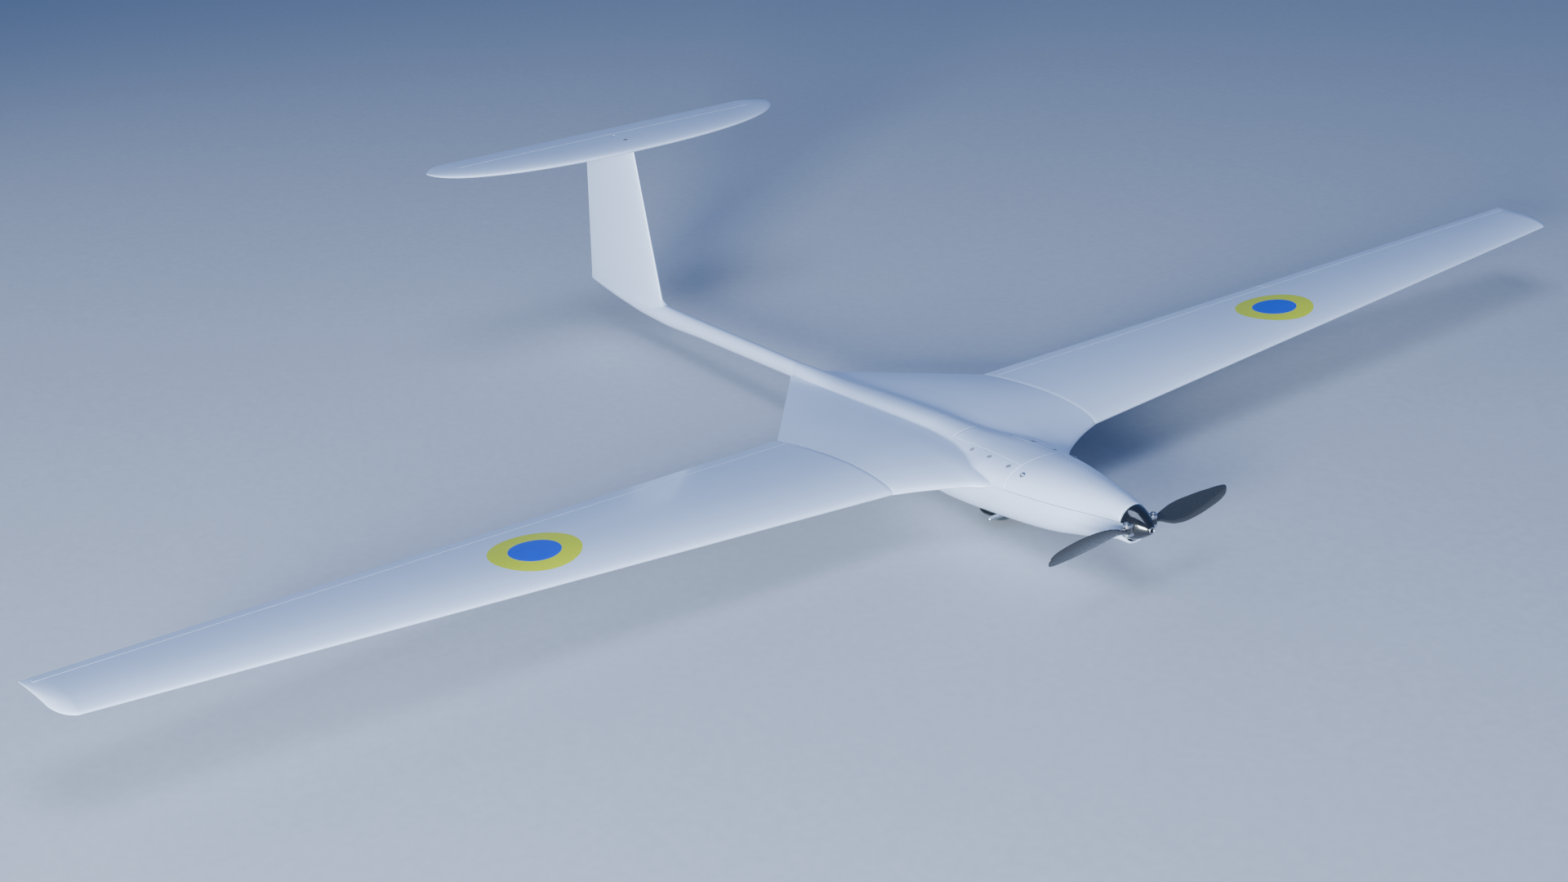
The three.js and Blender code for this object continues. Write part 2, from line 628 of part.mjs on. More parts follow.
const SIDE_SCREWS = [[-8, 27.6], [24, 30], [57, 31.6]];          // x, y of the port row
const COWL_SCREW = [83, 34.5];
const CAP_SCREW = { shank: 1.2, depth: 7, head: 2.9, crown: 1.9, tall: 1.4, socket: 1.1, sunk: 0.4 };

// Height of the pod's upper skin.
function podTop(x, y) {
  const [, top, , upper, , middle] = readRows(POD, x);
  return middle + (top - middle) * (1 - (Math.abs(y) / upper) ** POD_POWER) ** (1 / POD_POWER);
}

// Turns something drawn along +Z square to the pod's skin and moves it there.
function ontoPod(geometry, x, y) {
  const slope = (podTop(x, y + 1) - podTop(x, y - 1)) / 2;
  return toSolid(geometry.rotateX(Math.atan(slope)).translate(x, y, podTop(x, y)));
}

// Round-headed screw standing slightly sunk in the skin.
function podScrew(x, y) {
  const { shank, depth, head, crown, tall, socket, sunk } = CAP_SCREW;
  const profile = [[-depth, 0], [-depth, shank], [0, shank], [0, head], [tall, crown], [tall, 0]];
  const body = turned(profile, 10).rotateY(-Math.PI / 2).translate(0, 0, -sunk);
  const key = new THREE.CylinderGeometry(socket, socket, 2 * tall, 6).rotateX(Math.PI / 2);
  return ontoPod(body, x, y).subtract(ontoPod(key.translate(0, 0, tall), x, y));
}

function screwHole(x, y) {
  const bore = new THREE.CylinderGeometry(CAP_SCREW.shank + GAP, CAP_SCREW.shank + GAP, 24, 8);
  const wide = CAP_SCREW.head + GAP;
  const counter = new THREE.CylinderGeometry(wide, wide, 6, 10).translate(0, 3 - CAP_SCREW.sunk - GAP, 0);
  return ontoPod(bore.rotateX(Math.PI / 2), x, y).add(ontoPod(counter.rotateX(Math.PI / 2), x, y));
}

let centreBody = pod.intersect(abovePlane(GAP / 2)).intersect(behindCowl)
  .add(wingBody.intersect(behindCowl))
  .subtract(bay)
  .subtract(hatchPrism(GAP, NOSE_X).intersect(pod))
  .subtract(joinerBore)
  .subtract(boomBore)
  .subtract(boomSolid(GAP));
let noseCowl = shell.intersect(abovePlane(GAP / 2)).intersect(cowlZone);

const SIDES = { left: 1, right: -1 };
Object.entries(SIDES).forEach(([side, sign]) => {
  SIDE_SCREWS.forEach(([x, y], i) => {
    centreBody = centreBody.subtract(screwHole(x, sign * y));
    add(`hatch_screw_${side}_${i + 1}`, podScrew(x, sign * y), SCREW);
  });
  const [x, y] = COWL_SCREW;
  noseCowl = noseCowl.subtract(screwHole(x, sign * y));
  add(`cowl_screw_${side}`, podScrew(x, sign * y), STEEL);
});
add('centre_body', centreBody, PAINT);
add('nose_cowl', noseCowl, PAINT);
add('hatch_cover', shell.intersect(hatchPrism(0)), PAINT);

// ---------------------------------------------------------------- lower shell with the camera opening
const PEG = { x: 31, z: -50, radius: 2.5, bore: 1.6, half: 39 };
const flatCut = toSolid(box([-BEYOND, -BEYOND, -BEYOND], [BEYOND, BEYOND, BELLY_Z]));
const domeHole = toSolid(rod([DOME.x, 0, -BEYOND], [DOME.x, 0, DOME.roomZ], DOME.radius + GAP, 24));
const pegRod = (half, radius, sides) => (
  toSolid(rod([PEG.x, -half, PEG.z], [PEG.x, half, PEG.z], radius, sides))
);
const tub = pod.subtract(abovePlane(-GAP / 2)).subtract(centreWing(GAP)).subtract(bay)
  .subtract(flatCut).subtract(domeHole).subtract(pegRod(BEYOND, PEG.radius + GAP, 16)).subtract(boomBore)
  .subtract(slab(NOSE_X - GAP, BEYOND));
add('belly_shell', tub, PAINT);
add('launch_peg', pegRod(PEG.half, PEG.radius, 16).subtract(pegRod(BEYOND, PEG.bore, 12)), STEEL);

const domeArc = (radius, steps) => {
  const end = Math.acos((DOME.z - DOME.rimZ) / radius);
  return Array.from({ length: steps + 1 }, (_, i) => {
    const angle = end * i / steps;
    return new THREE.Vector2(radius * Math.sin(angle), DOME.z - radius * Math.cos(angle));
  });
};
const domeProfile = [...domeArc(DOME.radius - DOME.fit, 6), ...domeArc(DOME.radius - DOME.wall, 5).reverse()];
const dome = new THREE.LatheGeometry(domeProfile, 20).rotateX(Math.PI / 2).translate(DOME.x, 0, 0);
add('camera_dome', dome, GLASS);

const CAMERA = { footZ: -44, topZ: -38, stem: 8, ball: 11.5, ballZ: -52 };
const LENS = { radius: 5, bore: 3.8, end: [13, 0, -60], boreFrom: [11.8, 0, -59.3], boreTo: [15, 0, -61.2] };

function cameraHead() {
  const { footZ, topZ, stem, ballZ } = CAMERA;
  const post = toSolid(rod([0, 0, footZ], [0, 0, topZ], stem, 14));
  const ball = toSolid(new THREE.SphereGeometry(CAMERA.ball, 16, 8).translate(0, 0, ballZ));
  const lens = toSolid(rod([0, 0, ballZ], LENS.end, LENS.radius, 12));
  const bore = toSolid(rod(LENS.boreFrom, LENS.boreTo, LENS.bore, 12));
  return post.add(ball).add(lens).subtract(bore).translate([DOME.x, 0, 0]);
}
add('camera_head', cameraHead(), PLASTIC);

// ---------------------------------------------------------------- equipment on its tray
const TRAY = { top: -24, thick: 2, rearX: -46, wideX: 100, narrowX: 114, frontX: 152, wide: 24, narrow: 12 };

const EQUIPMENT = [                  // name, rear right and front left corners, height, corner radius, finish
  ['battery', [-6, -17], [90, 17], 21, 3, WRAP],
  ['autopilot', [-44, -23], [-10, 2], 12, 2, PLASTIC],
  ['receiver', [-44, 5], [-12, 22], 9, 2, GREEN],
  ['speed_controller', [100, -11], [146, 11], 9, 2, PLASTIC],
];

function extruded(shape, z, height) {
  const options = { depth: height, bevelEnabled: false, curveSegments: 3 };
  return new THREE.ExtrudeGeometry(shape, options).translate(0, 0, z);
}

function roundedOutline([x0, y0], [x1, y1], radius) {
  const shape = new THREE.Shape();
  shape.moveTo(x0 + radius, y0);
  shape.lineTo(x1 - radius, y0).quadraticCurveTo(x1, y0, x1, y0 + radius);
  shape.lineTo(x1, y1 - radius).quadraticCurveTo(x1, y1, x1 - radius, y1);
  shape.lineTo(x0 + radius, y1).quadraticCurveTo(x0, y1, x0, y1 - radius);
  shape.lineTo(x0, y0 + radius).quadraticCurveTo(x0, y0, x0 + radius, y0);
  return shape;
}

const traySide = [
  [TRAY.rearX, TRAY.wide],
  [TRAY.wideX, TRAY.wide],
  [TRAY.narrowX, TRAY.narrow],
  [TRAY.frontX, TRAY.narrow],
];
const trayOutline = [...traySide.map(([x, y]) => [x, -y]), ...traySide.reverse()];
const trayShape = new THREE.Shape(trayOutline.map(([x, y]) => new THREE.Vector2(x, y)));
add('equipment_tray', extruded(trayShape, TRAY.top - TRAY.thick, TRAY.thick), PLYWOOD);
EQUIPMENT.forEach(([name, low, high, height, radius, material]) => {
  add(name, extruded(roundedOutline(low, high, radius), TRAY.top + GAP, height), material);
});

// ---------------------------------------------------------------- motor and folding propeller
const MOUNT = { rearX: 203, frontX: 206, radius: 16, bore: 5.5 };
const SHAFT_BORE = MOTOR.shaft + GAP;

// Round bar and ring along the shaft.
function disc(rearX, frontX, radius, sides = 16) {
  return toSolid(turned([[rearX, 0], [rearX, radius], [frontX, radius], [frontX, 0]], sides));
}
const tube = (rearX, frontX, radius, bore, sides = 24) => (
  disc(rearX, frontX, radius, sides).subtract(disc(rearX - 1, frontX + 1, bore))
);

add('motor_mount', tube(MOUNT.rearX, MOUNT.frontX, MOUNT.radius, MOUNT.bore), ALLOY);
add('motor_base', tube(MOTOR.baseX + GAP, MOUNT.rearX - GAP, MOTOR.base, SHAFT_BORE), ALLOY);
add('motor_rotor', turned([
  [MOTOR.rearX, 0], [MOTOR.rearX, 5], [MOTOR.rearX + 2, MOTOR.can - 1], [MOTOR.rearX + 4, MOTOR.can],
  [MOTOR.baseX, MOTOR.can], [MOTOR.baseX, MOTOR.shaft], [MOTOR.shaftX, MOTOR.shaft], [MOTOR.shaftX, 0],
]), STEEL);

const SPINNER = { baseX: 210.4, hollowX: 225.5, tipX: 236.4, baseRadius: 18.4, tipRadius: 4.3, wall: 1.6 };
const SPINNER_CURVE = { bend: 1.4, power: 0.9 };
const NUT = { rearX: 226.4, frontX: 237.4, radius: 3.6, bore: 2.3 };
const YOKE = { halfX: 4.4, halfZ: 6.2, end: 4, hub: 7, hubRearX: 212, hubFrontX: 224.5 };
const TONGUE = { radius: 4.2, half: 2.9, roomFromY: 11.5, roomHalf: 3.2 };
const PIN = {
  radius: 1.5, half: 7.4, head: 2.6, headFrom: 6.5, headTop: 8.3, socket: 1.2, room: 3.3, fit: 0.1,
};
const FORK_ROOM = { halfX: 5.2, halfZ: 6.7 };
const FOLD_ROOM_HALF = 4.6;

function spinnerRadius(x) {
  const t = (x - SPINNER.baseX) / (SPINNER.tipX - SPINNER.baseX);
  const share = Math.max(0, 1 - t ** SPINNER_CURVE.bend) ** SPINNER_CURVE.power;
  return mix(SPINNER.tipRadius, SPINNER.baseRadius, share);
}

function spinnerBody() {
  const outerX = [0, 0.15, 0.32, 0.5, 0.66, 0.8, 0.91, 1].map((t) => mix(SPINNER.baseX, SPINNER.tipX, t));
  const innerX = [0, 0.36, 0.72, 1].map((t) => mix(SPINNER.baseX, SPINNER.hollowX, t));
  const outer = [[SPINNER.baseX, 0], ...outerX.map((x) => [x, spinnerRadius(x)]), [SPINNER.tipX, 0]];
  const inner = [
    [SPINNER.baseX - 1, 0],
    [SPINNER.baseX - 1, SPINNER.baseRadius - SPINNER.wall],
    ...innerX.map((x) => [x, spinnerRadius(x) - SPINNER.wall]),
    [SPINNER.hollowX, 0],
  ];
  return toSolid(turned(outer, 24)).subtract(toSolid(turned(inner, 16)));
}

// Upright bar on one blade's hinge line.
const pinRod = (sign, low, high, radius, sides = 16) => (
  toSolid(rod([PROP.x, sign * PROP.hingeY, low], [PROP.x, sign * PROP.hingeY, high], radius, sides))
);
// Block across the shaft, the same above and below it.
const across = (rearX, frontX, halfY, halfZ) => toSolid(box([rearX, -halfY, -halfZ], [frontX, halfY, halfZ]));

const spinnerRooms = [
  across(PROP.x - FORK_ROOM.halfX, PROP.x + FORK_ROOM.halfX, BEYOND, FORK_ROOM.halfZ),
  across(SPINNER.baseX - 1, PROP.x, BEYOND, FOLD_ROOM_HALF),
  pinRod(1, -PIN.headTop - 1, PIN.headTop + 1, PIN.room),
  pinRod(-1, -PIN.headTop - 1, PIN.headTop + 1, PIN.room),
  disc(SPINNER.hollowX - 1, BEYOND, NUT.radius + GAP, 20),
];
let spinner = spinnerBody();
spinnerRooms.forEach((room) => { spinner = spinner.subtract(room); });
add('spinner', spinner, BLACK);
add('spinner_nut', tube(NUT.rearX, NUT.frontX, NUT.radius, NUT.bore, 20), ALLOY);

const yokeEnd = PROP.hingeY + YOKE.end;
const tongueRoom = across(PROP.x - BEYOND, PROP.x + BEYOND, BEYOND, TONGUE.roomHalf)
  .subtract(across(PROP.x - BEYOND, PROP.x + BEYOND, TONGUE.roomFromY, BEYOND));
let yoke = across(PROP.x - YOKE.halfX, PROP.x + YOKE.halfX, yokeEnd, YOKE.halfZ)
  .add(disc(YOKE.hubRearX, YOKE.hubFrontX, YOKE.hub))
  .subtract(tongueRoom)
  .subtract(disc(MOUNT.rearX, BEYOND, SHAFT_BORE));

// Blade along +Y: a round tongue on the hinge pin, a narrow neck and a twisted aerofoil.
const BLADE = [                      // y, chord, thickness share, pitch in degrees, sweep to the leading edge
  [25, 8.5, 0.46, 34, 0],
  [32, 13.5, 0.26, 33, 0.7],
  [44, 20.5, 0.15, 29, 1.6],
  [60, 23.5, 0.11, 24, 1.7],
  [78, 22.5, 0.1, 19, 0.9],
  [96, 19, 0.095, 15, -0.5],
  [108, 15.5, 0.09, 13, -1.8],
  [114.5, 11.5, 0.09, 12, -3],
  [117.9, 4, 0.1, 12, -4.4],
];

function bladeRing([y, chord, thick, pitch, sweep]) {
  const angle = THREE.MathUtils.degToRad(pitch);
  const along = v3(Math.sin(angle), 0, -Math.cos(angle));
  const up = v3(Math.cos(angle), 0, Math.sin(angle));
  const middle = v3(PROP.x, y, -sweep);
  const le = middle.clone().addScaledVector(along, chord / 2).toArray();
  const te = middle.clone().addScaledVector(along, -chord / 2).toArray();
  return foilRing(le, te, { thick, camber: 0.03 }, up);
}

const NECK = [                       // distance from the pin, half width, half height
  [0, 3.8, 2.9],
  [6, 4, 2.9],
  [9, 4.2, 2.6],
];

function blade() {
  const neck = loft(NECK.map(([along, width, height]) => ellipseRing(along, 0, width, height)));
  return toGeometry(pinRod(1, -TONGUE.half, TONGUE.half, TONGUE.radius, 20)
    .add(toSolid(neck.rotateZ(Math.PI / 2).translate(PROP.x, PROP.hingeY, 0)))
    .add(toSolid(loft(BLADE.map(bladeRing))))
    .subtract(pinRod(1, -YOKE.halfZ, YOKE.halfZ, PIN.radius + PIN.fit)));
}

function hingePin(sign) {
  return pinRod(sign, -PIN.half, PIN.half, PIN.radius)
    .add(pinRod(sign, PIN.headFrom, PIN.headTop, PIN.head))
    .subtract(pinRod(sign, PIN.half, PIN.headTop + 1, PIN.socket, 6));
}

const portBlade = blade();
add('blade_left', portBlade, CARBON);
// The other blade is the same one turned half a turn about the shaft.
add('blade_right', portBlade.clone().rotateX(Math.PI), CARBON);
Object.entries(SIDES).forEach(([side, sign]) => {
  yoke = yoke.subtract(pinRod(sign, -YOKE.halfZ - 1, YOKE.halfZ + 1, PIN.radius + PIN.fit));
  add(`blade_pin_${side}`, hingePin(sign), STEEL);
});
add('prop_yoke', yoke, ALLOY);

export default model;
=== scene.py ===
"""Looks of an electric T-tail survey sailplane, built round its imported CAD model.

Shapes are drawn in millimetres from the leading edge of the wing joint, as the CAD source draws them:
x to the nose, y to the port wing, z up. place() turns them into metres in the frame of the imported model.
"""

import math

import bmesh
import bpy
import numpy as np
from mathutils import Matrix, Vector


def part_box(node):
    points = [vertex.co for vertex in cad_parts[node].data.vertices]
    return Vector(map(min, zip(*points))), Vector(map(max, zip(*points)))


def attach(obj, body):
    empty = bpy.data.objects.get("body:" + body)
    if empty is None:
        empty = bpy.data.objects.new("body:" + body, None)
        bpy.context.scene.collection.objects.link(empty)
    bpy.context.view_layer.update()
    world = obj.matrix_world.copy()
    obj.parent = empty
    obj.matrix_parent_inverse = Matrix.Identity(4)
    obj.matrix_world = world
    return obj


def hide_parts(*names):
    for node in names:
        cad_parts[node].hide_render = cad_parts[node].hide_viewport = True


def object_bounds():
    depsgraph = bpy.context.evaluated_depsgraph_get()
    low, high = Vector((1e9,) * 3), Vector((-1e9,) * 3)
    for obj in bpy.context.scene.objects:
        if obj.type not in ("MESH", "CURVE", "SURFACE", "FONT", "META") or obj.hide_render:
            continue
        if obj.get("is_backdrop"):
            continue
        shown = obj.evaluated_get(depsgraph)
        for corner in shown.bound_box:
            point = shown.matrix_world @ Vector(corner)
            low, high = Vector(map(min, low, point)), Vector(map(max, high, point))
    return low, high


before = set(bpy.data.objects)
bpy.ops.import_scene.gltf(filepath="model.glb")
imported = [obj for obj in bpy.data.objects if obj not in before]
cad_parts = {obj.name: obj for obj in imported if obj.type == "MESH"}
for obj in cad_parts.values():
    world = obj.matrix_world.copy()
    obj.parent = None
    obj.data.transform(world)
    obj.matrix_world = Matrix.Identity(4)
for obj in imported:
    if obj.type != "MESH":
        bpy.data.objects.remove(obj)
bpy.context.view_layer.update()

# ---- driving dimensions
MM = 0.001
ORIGIN = np.array((75.0, 0.0, 56.5))  # drawing origin, seen from the flat belly patch
GAP = 0.3  # clearance between pieces that touch
WALL = 2.0  # fuselage shell thickness
WELD = 0.002  # points closer than this are one point
BODY_REAR_X = -376.0  # where the tail boom starts
COWL_REAR_X = 70.0  # seam between nose cowl and centre body
NOSE_X = 210.0  # front face of the nose shells
BELLY_Z = -56.5  # flat patch under the belly
LIP_SHIFT = (5.0, 0, -2.5)  # the lip under the spinner, forward and down
BAY_REAR_X = -52.0  # rear wall of the equipment bay

JOINT_LE, JOINT_TE = np.array((0, 139, 0.0)), np.array((-205, 147, -4.0))
TIP_LE, TIP_TE = np.array((-43, 963, 33.0)), np.array((-136, 990, 33.3))
TIP_EDGE = np.array((-74, 981.5, 33.3))  # where the rounded tip corner meets the tip's straight edge
TIP_CORNER = np.array((-49, 976, 33.1))  # pulls that corner round
ROOT_FOIL, TIP_FOIL = np.array((0.09, 0.02)), np.array((0.08, 0.02))
TIP_RAKE = 20.0  # the tip's edge runs back over this much span
HINGE = {"root": (-183, 149), "tip": (-122, 982)}
SLOT = {"inner": 150.5, "split": 565.0, "outer": 981.0}
VEE = math.tan(math.radians(44))  # bevel under a top-skin hinge
EDGE = 0.35  # half thickness of a trailing edge
SHARP = math.radians(32)  # faces that meet at more than this keep a hard line
SEAM = 0.7  # softened corner along a seam
SOFT = 0.25  # softened corner of a thin edge
OVERCUT = 0.02  # how far a cutter's corner stands proud of a skin
HINGE_CUT = 0.05  # from the hinge axis back to the wall ahead of it
FRONT_EDGE = ((0, 1.5), (0.2, 0.9), (0.6, 0.4), (1.2, 0.12), (2.2, 0))  # rounding: distance back, drop
JOINER = {"x": -62.0, "z": 2.6, "bend": 142.0, "half": 240.0, "bore": 4.3}
SIDES = (("left", 1), ("right", -1))
X_AXIS, Y_AXIS, Z_AXIS = (1, 0, 0), (0, 1, 0), (0, 0, 1)

BOOM = [  # x, centre z, half width, half height
    (-376.3, -9.4, 10.3, 10.3), (-500, -13.4, 10.8, 10.8), (-600, -16.9, 11.2, 11.2),
    (-690, -20.2, 11.9, 12.6), (-740, -20.0, 10.6, 12.4), (-800, -19.0, 8.4, 9.2),
    (-850, -17.6, 5.0, 6.0), (-897, -16.2, 1.2, 1.6),
]
POD = [  # x, top, belly, upper half width, lower half width, widest height
    (210, 18.5, -18.5, 18.5, 18.5, 0), (200, 20.2, -21.6, 21.2, 21.2, 0), (185, 22.4, -25.7, 24.6, 24.6, 0),
    (150, 24.8, -35, 33.4, 33.4, 0), (110, 25.4, -44, 42.2, 42.2, 0), (60, 23, -50.3, 49.4, 49.4, 0),
    (24, 21.4, -54, 51.5, 52, 0), (-12, 19.8, -57, 38, 55, 0), (-48, 18, -58.4, 29, 56.5, 0),
    (-100, 17.4, -58.4, 25, 54, -1), (-150, 14.6, -55, 25, 47, -3), (-220, 9.2, -46.5, 23, 36, -5),
    (-300, 3.4, -35, 17, 22, -8), (-376, 0.9, -19.7, 10.3, 10.3, -9.4), (-382, -0.6, -18.2, 8.8, 8.8, -9.4),
]
POD_POWER = 2.2
CENTRE = [  # span, leading edge x, thickness, camber, leading edge z
    (0, 62, 0.056, 0.008, -2), (30, 59, 0.058, 0.01, -1), (54, 52, 0.062, 0.012, 0),
    (70, 37.5, 0.066, 0.014, 0), (92, 23, 0.073, 0.016, 0), (118, 9, 0.082, 0.018, 0),
    (139, 0, 0.09, 0.02, 0),
]
CENTRE_TE = np.array((-393, 0, -13.6))
HATCH = {"rear": -50.0, "front": 69.4, "rear_half": 20.0, "front_half": 25.0}
SIDE_SCREWS = ((-8, 27.6), (24, 30), (57, 31.6))
COWL_SCREW = (83, 34.5)
FIN = {
    "root_z": -14, "top_z": 195, "root": (-700, -897.6), "top": (-744, -875), "thick": 0.088,
    "bevel": 15.4 / 142,
}
STAB = {
    "z": 202.8, "half": 261.0, "thick": 0.086, "le": -722.0, "tip_le": -822.0, "hinge": -808.0, "te": -850.0,
    "elevator": 222.0,
}
STAB_BOLTS = {"stab_bolt_front": -763, "stab_bolt_rear": -797}
SPINNER = {"base": 210.4, "tip": 236.4, "ring": 3.6, "base_radius": 18.4, "tip_radius": 4.3}
PROP = {"x": 220.0, "hinge": 17.5}  # blade hinges either side of the shaft
DOME = {"x": 5.0, "z": -51.0, "radius": 20.0}
PEG = {"x": 31.0, "z": -50.0, "radius": 2.5, "half": 39.0}
BLADE_ROOT, BLADE_TIP = 17.5, 117.9
BLADE = [  # span, chord, thickness share, pitch, sweep to the leading edge
    (BLADE_ROOT, 8.0, 0.7, 88, 0), (21.5, 8.2, 0.66, 78, 0), (26, 9.4, 0.42, 40, 0.1),
    (32, 13.5, 0.26, 33, 0.7), (44, 20.5, 0.15, 29, 1.6), (60, 23.5, 0.11, 24, 1.7),
    (78, 22.5, 0.1, 19, 0.9), (96, 19, 0.095, 15, -0.5), (108, 15.5, 0.09, 13, -1.8),
    (114.5, 11.5, 0.09, 12, -3), (117.2, 7.2, 0.1, 12, -4), (BLADE_TIP, 3.6, 0.12, 12, -4.4),
]


# ---- reading tables and curves
def mix(a, b, t):
    return a + (b - a) * t


def smoothstep(low, high, x):
    t = np.clip((x - low) / (high - low), 0, 1)
    return t * t * (3 - 2 * t)


def curve(rows):
    """Reads a table of (position, value, ...) with a smooth curve that never overshoots its rows."""
    table = np.array(sorted(rows), float)
    at, values = table[:, 0], table[:, 1:]
    step = np.diff(at)[:, None]
    slope = np.diff(values, axis=0) / step
    product = slope[:-1] * slope[1:]
    total = np.where(product > 0, slope[:-1] + slope[1:], 1)
    tangent = np.vstack((slope[:1], np.where(product > 0, 2 * product / total, 0), slope[-1:]))

    def read(x):
        x = np.clip(np.asarray(x, float), at[0], at[-1])
        i = np.clip(np.searchsorted(at, x, "right") - 1, 0, len(at) - 2)
        h = step[i]
        t = ((x - at[i])[..., None]) / h
        ends = values[i] * (1 + 2 * t) * (1 - t) ** 2 + values[i + 1] * t * t * (3 - 2 * t)
        return ends + h * (tangent[i] * t * (1 - t) ** 2 + tangent[i + 1] * t * t * (t - 1))

    return read


def soft_max(a, b, width):
    """The higher of two heights, with their crease rounded over about that width."""
    near = np.clip(width - np.abs(a - b), 0, None) / width
    return np.maximum(a, b) + near * near * width / 4


def stations(start, end, count, lip):
    """Evenly spaced positions, with one more a lip's width inside each end."""
    inner = np.linspace(start, end, count)
    lip = math.copysign(lip, end - start)
    return np.concatenate(([start, start + lip], inner[1:-1], [end - lip, end]))


def rounded(count):
    """Positions from -1 to 1 that crowd towards both ends."""
    return np.sin(np.linspace(-math.pi / 2, math.pi / 2, count))


# ---- meshes
def place(points):
    return (np.asarray(points, float) + ORIGIN) * MM


def add_to_scene(name, data):
    obj = bpy.data.objects.new(name, data)
    bpy.context.scene.collection.objects.link(obj)
    return obj


def finish_mesh(obj):
    """Smooth faces, with a hard line wherever two faces meet at more than the angle SHARP."""
    mesh = obj.data
    mesh.polygons.foreach_set("use_smooth", [True] * len(mesh.polygons))
    mesh.set_sharp_from_angle(angle=SHARP)


def solid(name, points, faces, look):
    """Closed mesh object from drawing points."""
    mesh = bpy.data.meshes.new(name)
    mesh.from_pydata(place(np.asarray(points).reshape(-1, 3)).tolist(), [], faces)
    shape = bmesh.new()
    shape.from_mesh(mesh)
    bmesh.ops.remove_doubles(shape, verts=shape.verts, dist=WELD * MM)
    bmesh.ops.dissolve_degenerate(shape, edges=shape.edges, dist=WELD * MM)
    bmesh.ops.recalc_face_normals(shape, faces=shape.faces)
    shape.to_mesh(mesh)
    shape.free()
    obj = add_to_scene(name, mesh)
    if look:
        mesh.materials.append(look)
    finish_mesh(obj)
    return obj


def quads(rows, columns, closed=False):
    """Faces of a grid of points, row by row."""
    wide = columns if closed else columns - 1
    return [
        [r * columns + c, r * columns + (c + 1) % columns,
         (r + 1) * columns + (c + 1) % columns, (r + 1) * columns + c]
        for r in range(rows - 1) for c in range(wide)
    ]


def loft(name, rings, look=None):
    """Solid through rings of equal point count."""
    rings = np.asarray(rings, float)
    rows, columns = rings.shape[:2]
    last = (rows - 1) * columns
    caps = [list(range(columns))[::-1], list(range(last, last + columns))]
    return solid(name, rings, quads(rows, columns, True) + caps, look)


def shell(name, outer, inner, look):
    """Solid between two grids of equal size."""
    rows, columns = outer.shape[:2]
    count = rows * columns
    sheet = quads(rows, columns)
    rim = list(range(columns))
    rim += [r * columns + columns - 1 for r in range(1, rows)]
    rim += [count - 1 - c for c in range(1, columns)]
    rim += [r * columns for r in range(rows - 2, 0, -1)]
    walls = [[a, b, b + count, a + count] for a, b in zip(rim, rim[1:] + rim[:1])]
    back = [[k + count for k in reversed(face)] for face in sheet]
    points = np.concatenate((outer.reshape(-1, 3), inner.reshape(-1, 3)))
    return solid(name, points, sheet + back + walls, look)


def soften_rim(outer, inner, share):
    """Sinks the edge of the outer grid towards the inner one, which rounds the corner along a seam."""
    soft = outer.copy()
    for edge in (np.s_[0], np.s_[-1], np.s_[:, 0], np.s_[:, -1]):
        soft[edge] = mix(outer[edge], inner[edge], share)
    return soft


def turned(name, profile, look, sides, at=(0, 0, 0), axis=X_AXIS):
    """Solid of revolution; the profile is (distance along the axis, radius)."""
    turn = Vector(X_AXIS).rotation_difference(Vector(axis).normalized()).to_matrix()
    angles = np.linspace(0, 2 * math.pi, sides, endpoint=False)
    rings = [[(along, r * math.cos(a), r * math.sin(a)) for a in angles] for along, r in profile]
    points = np.asarray(rings) @ np.array(turn).T + np.asarray(at, float)
    return loft(name, points, look)


def tube(name, profile, look, sides, at=(0, 0, 0), axis=X_AXIS):
    """Solid of revolution with a hole through it: the profile is a closed outline."""
    return turned(name, [*profile, profile[0]], look, sides, at, axis)


def bar(start, end, radius, sides=24, at=(0, 0, 0), axis=X_AXIS):
    """Plain round bar from start to end along an axis, to join on or cut with."""
    return turned("bar", [(start, radius), (end, radius)], None, sides, at, axis)


def plate(name, outline, low, high, look=None, up=2):
    """Flat outline pulled from low to high along one axis; the outline gives the other two in order."""
    ring = np.asarray(outline, float)
    return loft(name, [np.insert(ring, up, level, axis=1) for level in (low, high)], look)


def block(name, low, high):
    x0, y0, z0 = low
    x1, y1, z1 = high
    return plate(name, [(x0, y0), (x1, y0), (x1, y1), (x0, y1)], z0, z1)


def side_blocks(low, high):
    """The same box on the port and starboard sides."""
    (x0, near, z0), (x1, far, z1) = low, high
    return [block("side_block", (x0, y0, z0), (x1, y1, z1)) for y0, y1 in ((near, far), (-far, -near))]


def round_box(low, high, radius, steps=5):
    """Outline of a rectangle with rounded corners."""
    corners = ((high[0], high[1], 0), (low[0], high[1], 1), (low[0], low[1], 2), (high[0], low[1], 3))
    points = []
    for x, y, quarter in corners:
        cx = x - math.copysign(radius, x - (low[0] + high[0]) / 2)
        cy = y - math.copysign(radius, y - (low[1] + high[1]) / 2)
        for k in range(steps + 1):
            angle = math.pi / 2 * (quarter + k / steps)
            points.append((cx + radius * math.cos(angle), cy + radius * math.sin(angle)))
    return points


def bake(obj):
    """Applies the object's modifiers to its mesh."""
    graph = bpy.context.evaluated_depsgraph_get()
    obj.data = bpy.data.meshes.new_from_object(obj.evaluated_get(graph))
    obj.modifiers.clear()
    finish_mesh(obj)
    return obj


def combine(obj, operation, others):
    """Cuts solids out of an object, or joins them on, and removes them."""
    for other in others:
        modifier = obj.modifiers.new(operation, "BOOLEAN")
        modifier.operation = operation
        modifier.solver = "EXACT"
        modifier.object = other
    bake(obj)
    for other in others:
        bpy.data.objects.remove(other)
    return obj


